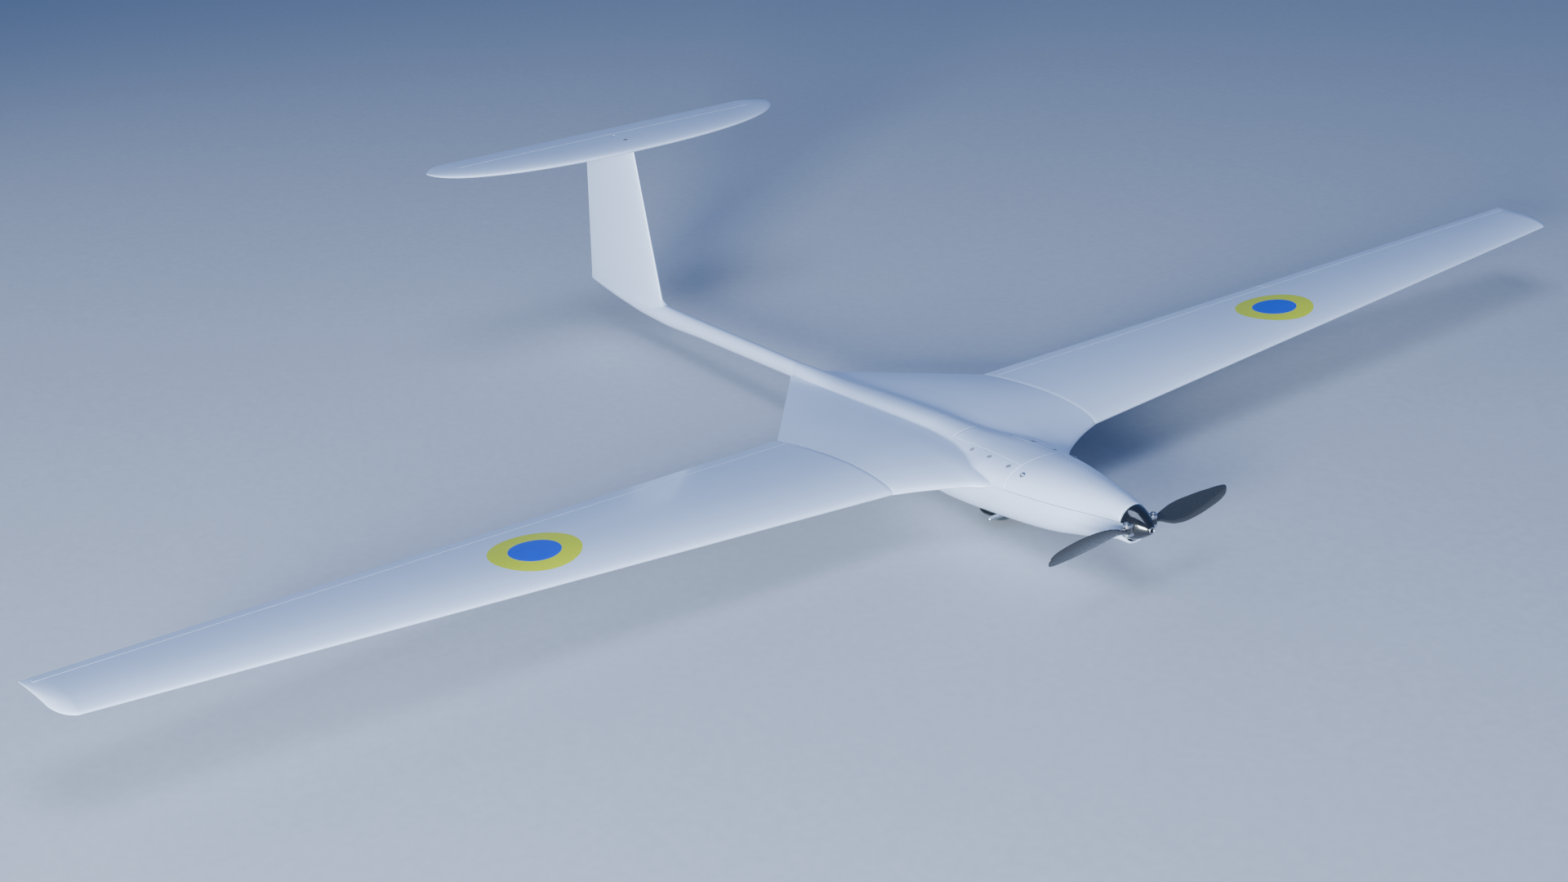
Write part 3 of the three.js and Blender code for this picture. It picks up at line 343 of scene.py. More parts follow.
def bevel(obj, width, segments=2):
    """Rounds the hard corners by that many millimetres."""
    modifier = obj.modifiers.new("soft_corners", "BEVEL")
    modifier.width = width * MM
    modifier.segments = segments
    modifier.limit_method = "ANGLE"
    modifier.angle_limit = math.radians(40)
    return obj


def copied(obj, name, matrix):
    """A copy of an object, moved or turned."""
    copy = obj.copy()
    copy.data = obj.data.copy()
    copy.name = name
    copy.data.transform(matrix)
    bpy.context.scene.collection.objects.link(copy)
    return copy


def mirrored(obj, name):
    copy = copied(obj, name, Matrix.Scale(-1, 4, Y_AXIS))
    copy.data.flip_normals()
    return copy


def keep(obj, body, slot, *nodes):
    """Puts a finished piece on its CAD body, in place of the CAD nodes it stands for."""
    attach(obj, body)
    if nodes:
        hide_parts(*nodes)
    return obj


def keep_skin(obj, node):
    keep(obj, "airframe", "white_paint", node)


# ---- aerofoils
def foil_heights(x, thick, camber):
    half = 5 * thick * (0.2969 * np.sqrt(x) - 0.126 * x - 0.3516 * x**2 + 0.2843 * x**3 - 0.1015 * x**4)
    peak = 0.4
    front = camber / peak**2 * (2 * peak * x - x**2)
    rear = camber / (1 - peak) ** 2 * (1 - 2 * peak + 2 * peak * x - x**2)
    return half, np.where(x < peak, front, rear)


def skin(le, te, foil, x, side, up=Z_AXIS):
    """Points on the upper (+1) or lower (-1) skin at fractions x of the chord."""
    x = np.atleast_1d(np.asarray(x, float))
    half, line = foil_heights(x, *foil)
    chord = np.asarray(te, float) - le
    length = np.linalg.norm(chord)
    lift = line * length + side * (half * length + EDGE * x)
    return np.asarray(le, float) + chord * x[:, None] + lift[:, None] * np.asarray(up, float)


def foil_ring(le, te, foil, up=Z_AXIS, steps=36):
    """Outline: trailing edge, over the top to the nose and back underneath."""
    forward = (1 + np.cos(np.linspace(0, math.pi, steps + 1))) / 2
    return np.concatenate((skin(le, te, foil, forward, 1, up), skin(le, te, foil, forward[-2::-1], -1, up)))


def inset(ring, distance):
    """Ring moved towards its own inside, in its own plane."""
    along = np.roll(ring, -1, 0) - np.roll(ring, 1, 0)
    normal = np.cross(ring - ring.mean(0), np.roll(ring, -1, 0) - ring.mean(0)).sum(0)
    inward = np.cross(normal, along)
    size = np.linalg.norm(inward, axis=1, keepdims=True)
    return ring + inward / np.where(size > 0, size, 1) * distance


# ---- materials
class Look:
    """Procedural material on one Principled shader; patterns lie in the frame's own metres."""

    def __init__(self, name, **sockets):
        self.material = bpy.data.materials.new(name)
        self.material.use_nodes = True
        self.tree = self.material.node_tree
        self.shader = self.tree.nodes["Principled BSDF"]
        self.place = self.add("ShaderNodeTexCoord").outputs["Object"]
        for socket, value in sockets.items():
            self.shader.inputs[socket.replace("_", " ")].default_value = value

    def add(self, kind, inputs=None, **settings):
        node = self.tree.nodes.new(kind)
        for key, value in settings.items():
            setattr(node, key, value)
        for key, value in (inputs or {}).items():
            self.feed(node.inputs[key], value)
        return node

    def feed(self, socket, value):
        if isinstance(value, bpy.types.NodeSocket):
            self.tree.links.new(value, socket)
        else:
            socket.default_value = value

    def math(self, operation, a, b=0.0):
        return self.add("ShaderNodeMath", {0: a, 1: b}, operation=operation).outputs[0]

    def stretched(self, scale):
        """The place in the frame, stretched by a factor along each axis."""
        return self.add("ShaderNodeVectorMath", {0: self.place, 1: scale}, operation="MULTIPLY").outputs[0]

    def noise(self, scale, detail=2.0, stretch=None):
        vector = self.stretched(stretch) if stretch else self.place
        values = {"Vector": vector, "Scale": scale, "Detail": detail}
        return self.add("ShaderNodeTexNoise", values).outputs["Fac"]

    def cells(self, scale, **settings):
        """Distance from the middle of the nearest cell."""
        values = {"Vector": self.place, "Scale": scale}
        return self.add("ShaderNodeTexVoronoi", values, **settings).outputs["Distance"]

    def between(self, value, low, high, start=0.0, end=1.0):
        """Spreads low..high over start..end, held at both ends."""
        values = {"Value": value, "From Min": low, "From Max": high, "To Min": start, "To Max": end}
        return self.add("ShaderNodeMapRange", values, clamp=True).outputs[0]

    def blend(self, share, a, b):
        node = self.add("ShaderNodeMix", data_type="RGBA")
        self.feed(node.inputs[0], share)
        self.feed(node.inputs[6], a)
        self.feed(node.inputs[7], b)
        return node.outputs[2]

    def mix_numbers(self, share, a, b):
        """a where share is 0 and b where it is 1."""
        rest = self.math("MULTIPLY", a, self.math("SUBTRACT", 1.0, share))
        return self.math("ADD", rest, self.math("MULTIPLY", b, share))

    def clouded(self, scale, detail, first, second, low=0.3):
        """Two colours in soft patches."""
        return self.blend(self.between(self.noise(scale, detail), low, 0.7), first, second)

    def patchy(self, pattern, low, high):
        """Roughness that wanders between two values with a pattern."""
        return self.between(pattern, 0.3, 0.7, low, high)

    def split(self, vector=None):
        return self.add("ShaderNodeSeparateXYZ", {0: vector or self.place}).outputs

    def finish(self, colour=None, roughness=None, height=None, strength=0.3, depth=0.0002):
        """Connects the patterns to the shader and returns the material."""
        if colour is not None:
            self.feed(self.shader.inputs["Base Color"], colour)
        if roughness is not None:
            self.feed(self.shader.inputs["Roughness"], roughness)
        if height is not None:
            bump = self.add("ShaderNodeBump", {"Strength": strength, "Distance": depth, "Height": height})
            self.feed(self.shader.inputs["Normal"], bump.outputs[0])
        return self.material


def rgb(red, green, blue):
    """Linear colour from values of 0 to 255 as seen on a screen."""
    channels = [v / 255 for v in (red, green, blue)]
    return (*[v / 12.92 if v < 0.04045 else ((v + 0.055) / 1.055) ** 2.4 for v in channels], 1.0)


MARK = {"x": -87.0, "y": 509.0, "blue": 26.5, "yellow": 46.8}  # round marking on top of each wing
BAND = {"x": 117.0, "half": 6.0, "soft": 0.2}  # pale band round the battery, frame's x


def paint(name, marked=False):
    """Cool white satin paint: faint clouding, orange peel, painted shade in seams and creases and a painted
    highlight along convex edges.
    """
    look = Look(name, Coat_Weight=0.35, Coat_Roughness=0.12)
    colour = look.clouded(5.0, 3.0, rgb(198, 212, 234), rgb(205, 218, 239))
    edge = look.add("ShaderNodeNewGeometry").outputs["Pointiness"]
    # painted shade: concave creases and seams darkened to a blue-grey
    colour = look.blend(look.between(edge, 0.48, 0.42, 0.0, 0.5), colour, rgb(112, 124, 150))
    # painted highlight: convex edges lightened towards white
    colour = look.blend(look.between(edge, 0.58, 0.70, 0.0, 0.3), colour, rgb(228, 234, 244))
    height = look.noise(420.0, 2.0)
    if marked:
        x, y, _ = look.split()
        dx = look.math("SUBTRACT", x, (MARK["x"] + ORIGIN[0]) * MM)
        dy = look.math("SUBTRACT", look.math("ABSOLUTE", y), MARK["y"] * MM)
        squares = [look.math("MULTIPLY", d, d) for d in (dx, dy)]
        away = look.math("SQRT", look.math("ADD", *squares))
        normal = look.add("ShaderNodeTexCoord").outputs["Normal"]
        upper = look.math("GREATER_THAN", look.split(normal)[2], 0.2)
        soft = 0.25 * MM
        tint = look.noise(60.0, 3.0)
        yellow = look.blend(tint, rgb(206, 218, 0), rgb(214, 226, 2))
        blue = look.blend(tint, rgb(0, 72, 214), rgb(0, 82, 224))
        rings = {}
        for key in ("yellow", "blue"):
            radius = MARK[key] * MM
            rings[key] = look.math("MULTIPLY", look.between(away, radius + soft, radius - soft), upper)
        colour = look.blend(rings["yellow"], colour, yellow)
        colour = look.blend(rings["blue"], colour, blue)
        film = look.math("MULTIPLY", rings["yellow"], 1.5)
        height = look.math("ADD", height, look.math("ADD", film, rings["blue"]))
    roughness = look.patchy(look.noise(38.0, 4.0), 0.30, 0.40)
    return look.finish(colour, roughness, height, 0.10, 0.0001)


def carbon(name, first=1, second=2, pitch=0.9):
    """Twill of dark tows under clear resin, laid in the plane of two axes."""
    look = Look(name, Coat_Weight=1.0, Coat_Roughness=0.05)
    axes = look.split()
    u = look.math("DIVIDE", axes[first], pitch * MM)
    v = look.math("DIVIDE", axes[second], pitch * MM)
    steps = look.math("ADD", look.math("FLOOR", u), look.math("FLOOR", v))
    phase = look.math("FLOORED_MODULO", steps, 4.0)
    over = look.math("LESS_THAN", phase, 1.5)
    threads = look.math("PINGPONG", look.mix_numbers(over, u, v), 0.5)
    colour = look.blend(over, rgb(34, 36, 39), rgb(43, 45, 49))
    dust = look.between(look.noise(30.0, 3.0), 0.35, 0.7, 0.0, 0.5)
    colour = look.blend(dust, colour, rgb(40, 42, 46))
    return look.finish(colour, look.between(over, 0, 1, 0.3, 0.24), threads, 0.08, 0.0001)


def metal(name, light, dark, rough=(0.18, 0.34), along=(1, 30, 30), strength=0.1):
    """Machined metal with fine tool marks drawn out along one axis."""
    look = Look(name, Metallic=1.0)
    marks = look.noise(700.0, 3.0, along)
    colour = look.clouded(120.0, 3.0, light, dark, 0.35)
    return look.finish(colour, look.patchy(marks, *rough), marks, strength, 0.0001)


def moulded(name, light, dark, rough=(0.35, 0.55), grain=900.0, strength=0.25, **sockets):
    """Moulded or lacquered surface with a fine grain and slightly uneven colour."""
    look = Look(name, **sockets)
    grains = look.noise(grain, 3.0)
    colour = look.clouded(90.0, 3.0, light, dark)
    return look.finish(colour, look.patchy(grains, *rough), grains, strength, 0.0001)


def circuit_board(name):
    """Green solder mask over copper tracks, with tinned pads."""
    look = Look(name, Coat_Weight=0.4)
    tracks = look.between(look.cells(420.0, distance="MANHATTAN", feature="F2"), 0.55, 0.6)
    pads = look.between(look.cells(260.0), 0.16, 0.12)
    colour = look.blend(tracks, rgb(22, 66, 44), rgb(42, 104, 66))
    colour = look.blend(pads, colour, rgb(196, 198, 190))
    return look.finish(colour, look.between(pads, 0, 1, 0.42, 0.22), tracks, 0.3, 0.0001)


def plywood(name):
    """Birch plywood: long grain with darker flecks."""
    look = Look(name)
    grain = look.noise(60.0, 6.0, (1, 14, 14))
    flecks = look.between(look.noise(240.0, 2.0, (1, 10, 10)), 0.62, 0.7)
    colour = look.blend(look.between(grain, 0.3, 0.7), rgb(214, 180, 128), rgb(186, 146, 94))
    colour = look.blend(flecks, colour, rgb(138, 98, 58))
    return look.finish(colour, look.patchy(grain, 0.5, 0.7), grain, 0.4, 0.0003)


def shrink_wrap(name):
    """Blue shrink film, glossy and a little creased, with a pale plain band."""
    look = Look(name, Coat_Weight=0.6, Coat_Roughness=0.1)
    creases = look.noise(70.0, 4.0, (1, 4, 4))
    colour = look.blend(look.between(creases, 0.3, 0.7), rgb(28, 70, 150), rgb(20, 52, 118))
    near = look.math("ABSOLUTE", look.math("SUBTRACT", look.split()[0], BAND["x"] * MM))
    band = look.between(near, (BAND["half"] + BAND["soft"]) * MM, BAND["half"] * MM)
    colour = look.blend(band, colour, rgb(205, 210, 216))
    return look.finish(colour, look.patchy(creases, 0.24, 0.42), creases, 0.5, 0.0006)


def smoked_dome(name):
    """Smoked clear plastic with faint moulding flow lines."""
    look = Look(name, IOR=1.49, Transmission_Weight=0.55)
    flow = look.noise(26.0, 2.0)
    colour = look.blend(flow, rgb(70, 84, 90), rgb(92, 104, 108))
    roughness = look.patchy(look.noise(300.0, 3.0), 0.03, 0.09)
    return look.finish(colour, roughness, flow, 0.05, 0.0002)


PAINT = paint("satin_paint")
WING_PAINT = paint("marked_wing_paint", marked=True)
CARBON = carbon("carbon_blade")
ROD_CARBON = carbon("carbon_rod", 0, 1, 1.0)
BLACK_GLOSS = moulded("black_gloss", rgb(17, 18, 20), rgb(24, 25, 28), (0.12, 0.24), 260.0, 0.05,
                      Coat_Weight=1.0, Coat_Roughness=0.04)
STEEL = metal("bright_steel", rgb(214, 217, 222), rgb(186, 190, 196))
ZINC = moulded("dulled_zinc", rgb(138, 145, 158), rgb(116, 123, 137), (0.35, 0.5), 500.0, 0.1)
DARK_STEEL = metal("dark_screw", rgb(92, 96, 102), rgb(62, 65, 70), (0.28, 0.45), (8, 8, 1))
ALLOY = metal("milled_alloy", rgb(206, 209, 214), rgb(176, 180, 187), (0.24, 0.4), (1, 18, 18), 0.15)
PLASTIC = moulded("black_plastic", rgb(34, 36, 40), rgb(46, 48, 52))
BOARD_BLACK = moulded("glass_fibre_black", rgb(28, 29, 31), rgb(44, 45, 48), (0.3, 0.42), 500.0, 0.35)
LENS = moulded("lens_glass", rgb(10, 12, 26), rgb(22, 16, 40), (0.02, 0.04), 40.0, 0.01,
                Coat_Weight=1.0, Coat_Roughness=0.01)
WRAP = shrink_wrap("battery_film")
BOARD = circuit_board("circuit_board")
PLY = plywood("birch_plywood")
SMOKE = smoked_dome("smoked_dome")
FLOOR = moulded("studio_floor", rgb(190, 194, 201), rgb(184, 188, 196), (0.55, 0.7), 40.0, 0.02)


# ---- outer wing panels
def wing_foil(t):
    return mix(ROOT_FOIL, TIP_FOIL, t)


def between_spans(y, root, tip):
    return (y - root[1]) / (tip[1] - root[1])


def wing_section(y):
    """Section whose leading edge is at y; the last one's trailing edge is inboard of the tip's own."""
    t = between_spans(y, JOINT_LE, TIP_LE)
    share = t * (1 - TIP_RAKE / (TIP_TE[1] - JOINT_TE[1]))
    return mix(JOINT_LE, TIP_LE, t), mix(JOINT_TE, TIP_TE, share), wing_foil(t)


def tip_section(u):
    """Section of the rounded tip, from u = 0 at the panel's last full section to 1 at the edge."""
    start_le, start_te, foil = wing_section(TIP_LE[1])
    le = (1 - u) ** 2 * start_le + 2 * u * (1 - u) * TIP_CORNER + u * u * TIP_EDGE
    te = mix(start_te, TIP_TE, u)
    return le, te, foil * (max(math.sqrt(1 - u * u), 0.05), 1)


def hinge_x(y):
    root, tip = HINGE["root"], HINGE["tip"]
    return mix(root[0], tip[0], between_spans(y, root, tip))


def hinge_slice(y):
    """Upright section at span y, the hinge's fraction of its chord and the hinge point in its top skin."""
    t = between_spans(y, JOINT_LE, TIP_LE)
    le = mix(JOINT_LE, TIP_LE, t)
    te = mix(JOINT_TE, TIP_TE, between_spans(y, JOINT_TE, TIP_TE))
    fraction = (le[0] - hinge_x(y)) / (le[0] - te[0])
    foil = wing_foil(t)
    return le, te, foil, fraction, skin(le, te, foil, fraction, 1)[0]


def flap_ring(le, te, foil, fraction, steps=12):
    """Section behind a hinge in the top skin, with a softened corner there and a bevelled underside."""
    chord = le[0] - te[0]
    depth = foil_heights(np.array([fraction]), *foil)[0][0] * 2 * chord
    start = fraction + GAP / chord
    lower = start + depth * VEE / chord
    nose = start + SEAM * VEE / chord
    corner = skin(le, te, foil, nose, 1)
    upper = skin(le, te, foil, np.linspace(nose + SOFT / chord, 1, steps), 1)
    under = skin(le, te, foil, np.linspace(1, lower, steps), -1)
    return np.concatenate((corner - (0, 0, SEAM), corner - (0, 0, SOFT), upper, under))


def softened_ends(rings):
    """Rings with the corners of their two end faces taken off."""
    def end(face, beside):
        inward = (beside - face) / np.linalg.norm(beside - face, axis=1, keepdims=True)
        return inset(face, SOFT), face + inward * SOFT

    return [*end(rings[0], rings[1]), *rings[1:-1], *end(rings[-1], rings[-2])[::-1]]


def hinge_cutter(name, slices, rear, reach=80):
    """Everything behind a hinge line, with the top skin's corner taken off; slices are hinge points."""
    rings = []
    for x, y, z in slices:
        wall = x - HINGE_CUT
        corner = [(wall + SEAM, y, reach), (wall + SEAM, y, z + OVERCUT), (wall, y, z - SEAM)]
        rings.append([*corner, (wall, y, -reach), (rear, y, -reach), (rear, y, reach)])
    return loft(name, rings)


# ---- control linkages
ARM = 13.0  # servo arm and horn, centre to centre
SERVO = (23.0, 24.0, 7.4)
ROD_SIDE = 3.0  # the rod runs this far to port of the horn's root
SERVO_BACK = 6.5  # from the servo's shaft back to the end of its case
LINKS = {  # span position, rod length, servo shaft below the hinge
    "flap": (262.0, 60.0, 1.6), "aileron": (612.0, 46.0, 1.6), "elevator": (30.0, 40.0, 4.4),
}
HORN = [(-5.4, -1.9), (-10.5, -1.7), (-7.6, -6.8), (-2.6, -13.4), (-1.5, -14.6), (0, -15), (1.3, -14.4),
        (1.9, -13), (1.2, -11.6), (-1.1, -8.4), (-3.7, -4.6)]


def link_axes(along):
    """Axes at a hinge: x forward, y along the hinge to port, z up."""
    y = along / np.linalg.norm(along)
    z = np.array(Z_AXIS) - y * y[2]
    z /= np.linalg.norm(z)
    return np.array((np.cross(y, z), y, z)).T


def set_in(obj, axes, hinge):
    """Turns a piece drawn at the origin into a link's frame."""
    turn = Matrix(axes.tolist()).to_4x4()
    back = Matrix.Translation(Vector(-ORIGIN * MM))
    obj.data.transform(Matrix.Translation(Vector(place(hinge))) @ turn @ back)
    return obj


def servo_case(name, length, shaft_z, look):
    """Servo case with its two joint lines, the boss of its shaft and a screw in the boss."""
    long, tall, thick = SERVO
    low = (length - SERVO_BACK, shaft_z - thick / 2)
    high = (low[0] + long, shaft_z + thick / 2)
    steps = [(-tall - 1, 0.5), (-tall - 0.5, 0)]
    for seam in (-tall * 0.72, -7.4):
        steps += [(seam, 0), (seam + 0.2, 0.3), (seam + 0.6, 0.3), (seam + 0.8, 0)]
    steps += [(-1.5, 0), (-1, 0.5)]
    levels = []
    for y, sunk in steps:
        outline = round_box((low[0] + sunk, low[1] + sunk), (high[0] - sunk, high[1] - sunk), 1.1)
        levels.append([(x, y, z) for x, z in outline])
    case = loft(name, levels, look)
    boss = [(-1.5, 2.6), (-0.2, 2.6), (0.1, 2.2), (0.1, 0.9), (-0.4, 0.8)]
    return combine(case, "UNION", [turned("boss", boss, look, 24, (length, 0, shaft_z), Y_AXIS)])


def pushrod(name, length, drop, look):
    """Rod with a threaded sleeve, a fork and a pin at each end."""
    ends = np.array(((0, ROD_SIDE, -ARM), (length, ROD_SIDE, -ARM - drop)))
    axis = ends[1] - ends[0]
    span = np.linalg.norm(axis)
    sleeve = [(2.0, 0.9), (2.3, 1.1), (7, 1.1), (7.4, 0.7)]
    profile = sleeve + [(span - along, radius) for along, radius in sleeve[::-1]]
    eye = [(-0.9, 1.7), (-0.7, 2.1), (0.7, 2.1), (0.9, 1.7)]
    pin = [(-1.0, 0.5), (-0.95, 0.7), (1.05, 0.7), (1.15, 0.5)]
    fittings = []
    for end in ends:
        fittings += [turned("eye", eye, look, 20, end, Y_AXIS), turned("pin", pin, look, 12, end, Y_AXIS)]
    return combine(turned(name, profile, look, 16, ends[0], axis), "UNION", fittings)


def make_link(kind, hinge, along):
    """Pieces of one port linkage and the cutters that make room for them."""
    _, length, drop = LINKS[kind]
    long, tall, thick = SERVO
    horn = plate(f"{kind}_horn", HORN, 0.6, 1.8, BOARD_BLACK, up=1)
    pieces = {
        "servo_case": servo_case(f"{kind}_servo_case", length, -drop, PLASTIC),
        "horn": bevel(combine(horn, "DIFFERENCE", [bar(0, 3, 0.75, 16, (0, 0, -ARM), Y_AXIS)]), 0.18),
        "rod": pushrod(f"{kind}_rod", length, drop, STEEL),
    }
    rear = length - SERVO_BACK - GAP
    pocket = block("pocket", (rear, -tall - 1.3, -60), (rear + long + 2 * GAP, -0.7, thick / 2 - drop + GAP))
    arm_room = block("arm_room", (length - 9, -1.6, -60), (length + 8, 5.2, 3 - drop))
    for obj in (*pieces.values(), pocket, arm_room):
        set_in(obj, link_axes(along), hinge)
    return pieces, combine(pocket, "UNION", [arm_room])


def keep_link(kind, pieces, sides):
    """Places a linkage's pieces on their bodies, mirrored for starboard where there are two."""
    for side in sides:
        for part, obj in pieces.items():
            tag = f"_{side}" if side else ""
            made = mirrored(obj, f"{obj.name}_{side}") if side == "right" else obj
            made.name = f"{kind}_{part}{tag}"
            body, slot, nodes = {
                "servo_case": ("airframe", "black_plastic", [f"{kind}_servo{tag}"]),
                "horn": (kind + tag, "black_plastic", []),
                "rod": (f"{kind}_pushrod{tag}", "steel", [f"{kind}_pushrod{tag}"]),
            }[part]
            keep(made, body, slot, *nodes)


def joiner_bore():
    """Hole for the joiner rod, which bends up with the outer panels."""
    x, z, bend, half, radius = JOINER.values()
    tip_z = z + (half - bend) * (TIP_LE[2] - JOINT_LE[2]) / (TIP_LE[1] - JOINT_LE[1])
    path = ((-half, tip_z), (-bend, z), (bend, z), (half, tip_z))
    angles = np.linspace(0, 2 * math.pi, 24, endpoint=False)
    return loft("joiner_bore", [
        [(x + radius * math.cos(a), y, z + radius * math.sin(a)) for a in angles] for y, z in path
    ])


def keep_pair(name, obj):
    """Keeps a port skin, and its mirror image to starboard."""
    other = mirrored(obj, f"{name}_skin_right")
    obj.name = f"{name}_skin_left"
    for side, made in (("left", obj), ("right", other)):
        keep(made, "airframe" if name == "wing" else f"{name}_{side}", "white_paint", f"{name}_{side}")


def build_wing():
    root = JOINT_LE[1] + GAP
    rings = [inset(foil_ring(*wing_section(root)), 0.28), foil_ring(*wing_section(root + SEAM))]
    rings += [foil_ring(*wing_section(y)) for y in np.linspace(JOINT_LE[1] + 6, TIP_LE[1] - 2, 36)]
    rings += [foil_ring(*tip_section(math.sin(a))) for a in np.linspace(0, math.pi / 2, 14)]
    wing = loft("wing_skin", rings, WING_PAINT)
    slices = [hinge_slice(y)[4] for y in np.linspace(SLOT["inner"] - GAP, SLOT["outer"] + GAP, 24)]
    cutters = [hinge_cutter("slot", slices, -400), joiner_bore()]
    surfaces = {"flap": (SLOT["inner"], SLOT["split"] - GAP), "aileron": (SLOT["split"] + GAP, SLOT["outer"])}
    for kind, (start, end) in surfaces.items():
        hinge = hinge_slice(LINKS[kind][0])[4]
        pieces, room = make_link(kind, hinge, hinge_slice(end)[4] - hinge_slice(start)[4])
        cutters.append(room)
        keep_link(kind, pieces, ("right", "left"))
        rings = [flap_ring(*hinge_slice(y)[:4]) for y in np.linspace(start, end, 14)]
        keep_pair(kind, loft(f"{kind}_skin", softened_ends(rings), PAINT))
    keep_pair("wing", combine(wing, "DIFFERENCE", cutters))


# ---- centre section
read_pod = curve(POD)
read_centre = curve(CENTRE)


def pod_ring(x, angles, sunk=0.0):
    """Points round the pod's section at x, for angles from the port side over the top."""
    top, belly, upper, lower, middle = read_pod(x)
    c, s = np.cos(angles), np.sin(angles)
    half = np.where(s >= 0, upper, lower) - sunk
    height = np.where(s >= 0, top - middle, middle - belly) - sunk
    power = 2 / POD_POWER
    y = half * np.sign(c) * np.abs(c) ** power
    z = middle + height * np.sign(s) * np.abs(s) ** power
    return np.stack((np.full_like(y, x), y, z), -1)


def pod_top(x, y):
    """Height of the pod's upper skin, far below where there is none."""
    top, _, upper, _, middle = np.moveaxis(read_pod(x), -1, 0)
    share = np.clip(1 - (np.abs(y) / upper) ** POD_POWER, 0, 1)
    return np.where(share > 0, middle + (top - middle) * share ** (1 / POD_POWER), -60)


def centre_foil(x, y):
    """Fraction of the chord, edges and foil of the centre section through (x, y)."""
    y = np.abs(y)
    root = y.copy()
    for _ in range(12):
        nose, thick, camber, nose_z = np.moveaxis(read_centre(root), -1, 0)
        share = root / JOINT_LE[1]
        tail = mix(CENTRE_TE[0], JOINT_TE[0], share)
        fraction = np.clip((nose - x) / (nose - tail), 0, 1)
        root = y / (1 + fraction * (JOINT_TE[1] / JOINT_LE[1] - 1))
    tail_z = mix(CENTRE_TE[2], JOINT_TE[2], share)
    return fraction, nose - tail, nose_z, tail_z, thick, camber, np.clip(x - nose, 0, None)


def centre_skin(x, y, side):
    """Height of the centre section's skin at (x, y), and how far ahead of its leading edge that is."""
    fraction, chord, nose_z, tail_z, thick, camber, ahead = centre_foil(x, y)
    half, line = foil_heights(fraction, thick, camber)
    height = mix(nose_z, tail_z, fraction) + line * chord + side * (half * chord + EDGE * fraction)
    return height, ahead


def parting_z(x):
    """The shells part on a plane that climbs to the nose, and on the wing's chord behind it."""
    return np.where(x > 54, (x - 54) * 5 / 154, (x - 54) * 13.6 / 447)


def top_z(x, y):
    wing, ahead = centre_skin(x, y, 1)
    return soft_max(wing - 6 * ahead, pod_top(x, y), 3.5)


def bottom_z(x, y):
    wing, ahead = centre_skin(x, y, -1)
    return np.where(ahead > 0, parting_z(x) + GAP / 2, np.minimum(wing, parting_z(x) + GAP / 2))


def plan_edge(x):
    """Half width of the centre body at x: to the pod, the leading edge, the joint or the trailing edge."""
    if x > 0:
        pod_half = bisect(lambda y: pod_top(x, y) - parting_z(x) - GAP / 2, 0.0, 60.0) if x > 40 else 0
        return max(pod_half, bisect(lambda y: read_centre(y)[..., 0] - x, 0.0, JOINT_LE[1]))
    if x > JOINT_TE[0]:
        return mix(JOINT_LE[1], JOINT_TE[1], x / JOINT_TE[0])
    return JOINT_TE[1] * (x - CENTRE_TE[0]) / (JOINT_TE[0] - CENTRE_TE[0])


def bisect(f, low, high):
    """Where a function of one number falls through zero."""
    for _ in range(30):
        middle = (low + high) / 2
        if f(np.array(middle)) > 0:
            low = middle
        else:
            high = middle
    return low


def centre_columns(x):
    """Spanwise positions at x, crowded at the crease beside the pod and at the outer edge."""
    edge = plan_edge(x)
    crease = bisect(lambda y: pod_top(x, y) - centre_skin(np.array(x), y, 1)[0] + 1e-3, 0.0, edge)
    crease = min(crease, 0.9 * edge)
    inner = crease * np.sin(np.linspace(0, math.pi / 2, 17))
    outer = mix(crease, edge, (1 + rounded(37)[1:]) / 2)
    half = np.concatenate((inner, outer))
    return np.concatenate((-half[:0:-1], half))


def wall_cutter(name, outline, low, high):
    """Cutter with upright walls whose top corner is taken off where it leaves the body's skin."""
    ring = np.asarray(outline, float)
    away = ring - ring.mean(0)
    wide = ring + away / np.linalg.norm(away, axis=1, keepdims=True) * SEAM
    skin_z = top_z(ring[:, 0], ring[:, 1])
    flat = np.ones(len(ring))
    levels = ((ring, low * flat), (ring, skin_z - SEAM), (wide, skin_z + OVERCUT), (wide, high * flat))
    return loft(name, [np.column_stack(level) for level in levels])


def hatch_half(x):
    share = (x - HATCH["rear"]) / (HATCH["front"] - HATCH["rear"])
    return mix(HATCH["rear_half"], HATCH["front_half"], share)


def hatch_outline(grow, front):
    """Corners and sides of the hatch opening, as points close enough together to follow the skin."""
    rear = HATCH["rear"] - grow
    along = np.linspace(rear, front, 25)
    side = [(x, hatch_half(x) + grow) for x in along]
    nose = [(front, y) for y in np.linspace(side[-1][1], -side[-1][1], 9)[1:-1]]
    tail = [(rear, y) for y in np.linspace(-side[0][1], side[0][1], 9)[1:-1]]
    return side + nose + [(x, -y) for x, y in side[::-1]] + tail


def bay_cutter():
    around = np.linspace(0, 2 * math.pi, 64, endpoint=False)
    return loft("bay", [pod_ring(x, around, WALL) for x in np.linspace(BAY_REAR_X, 80, 30)])


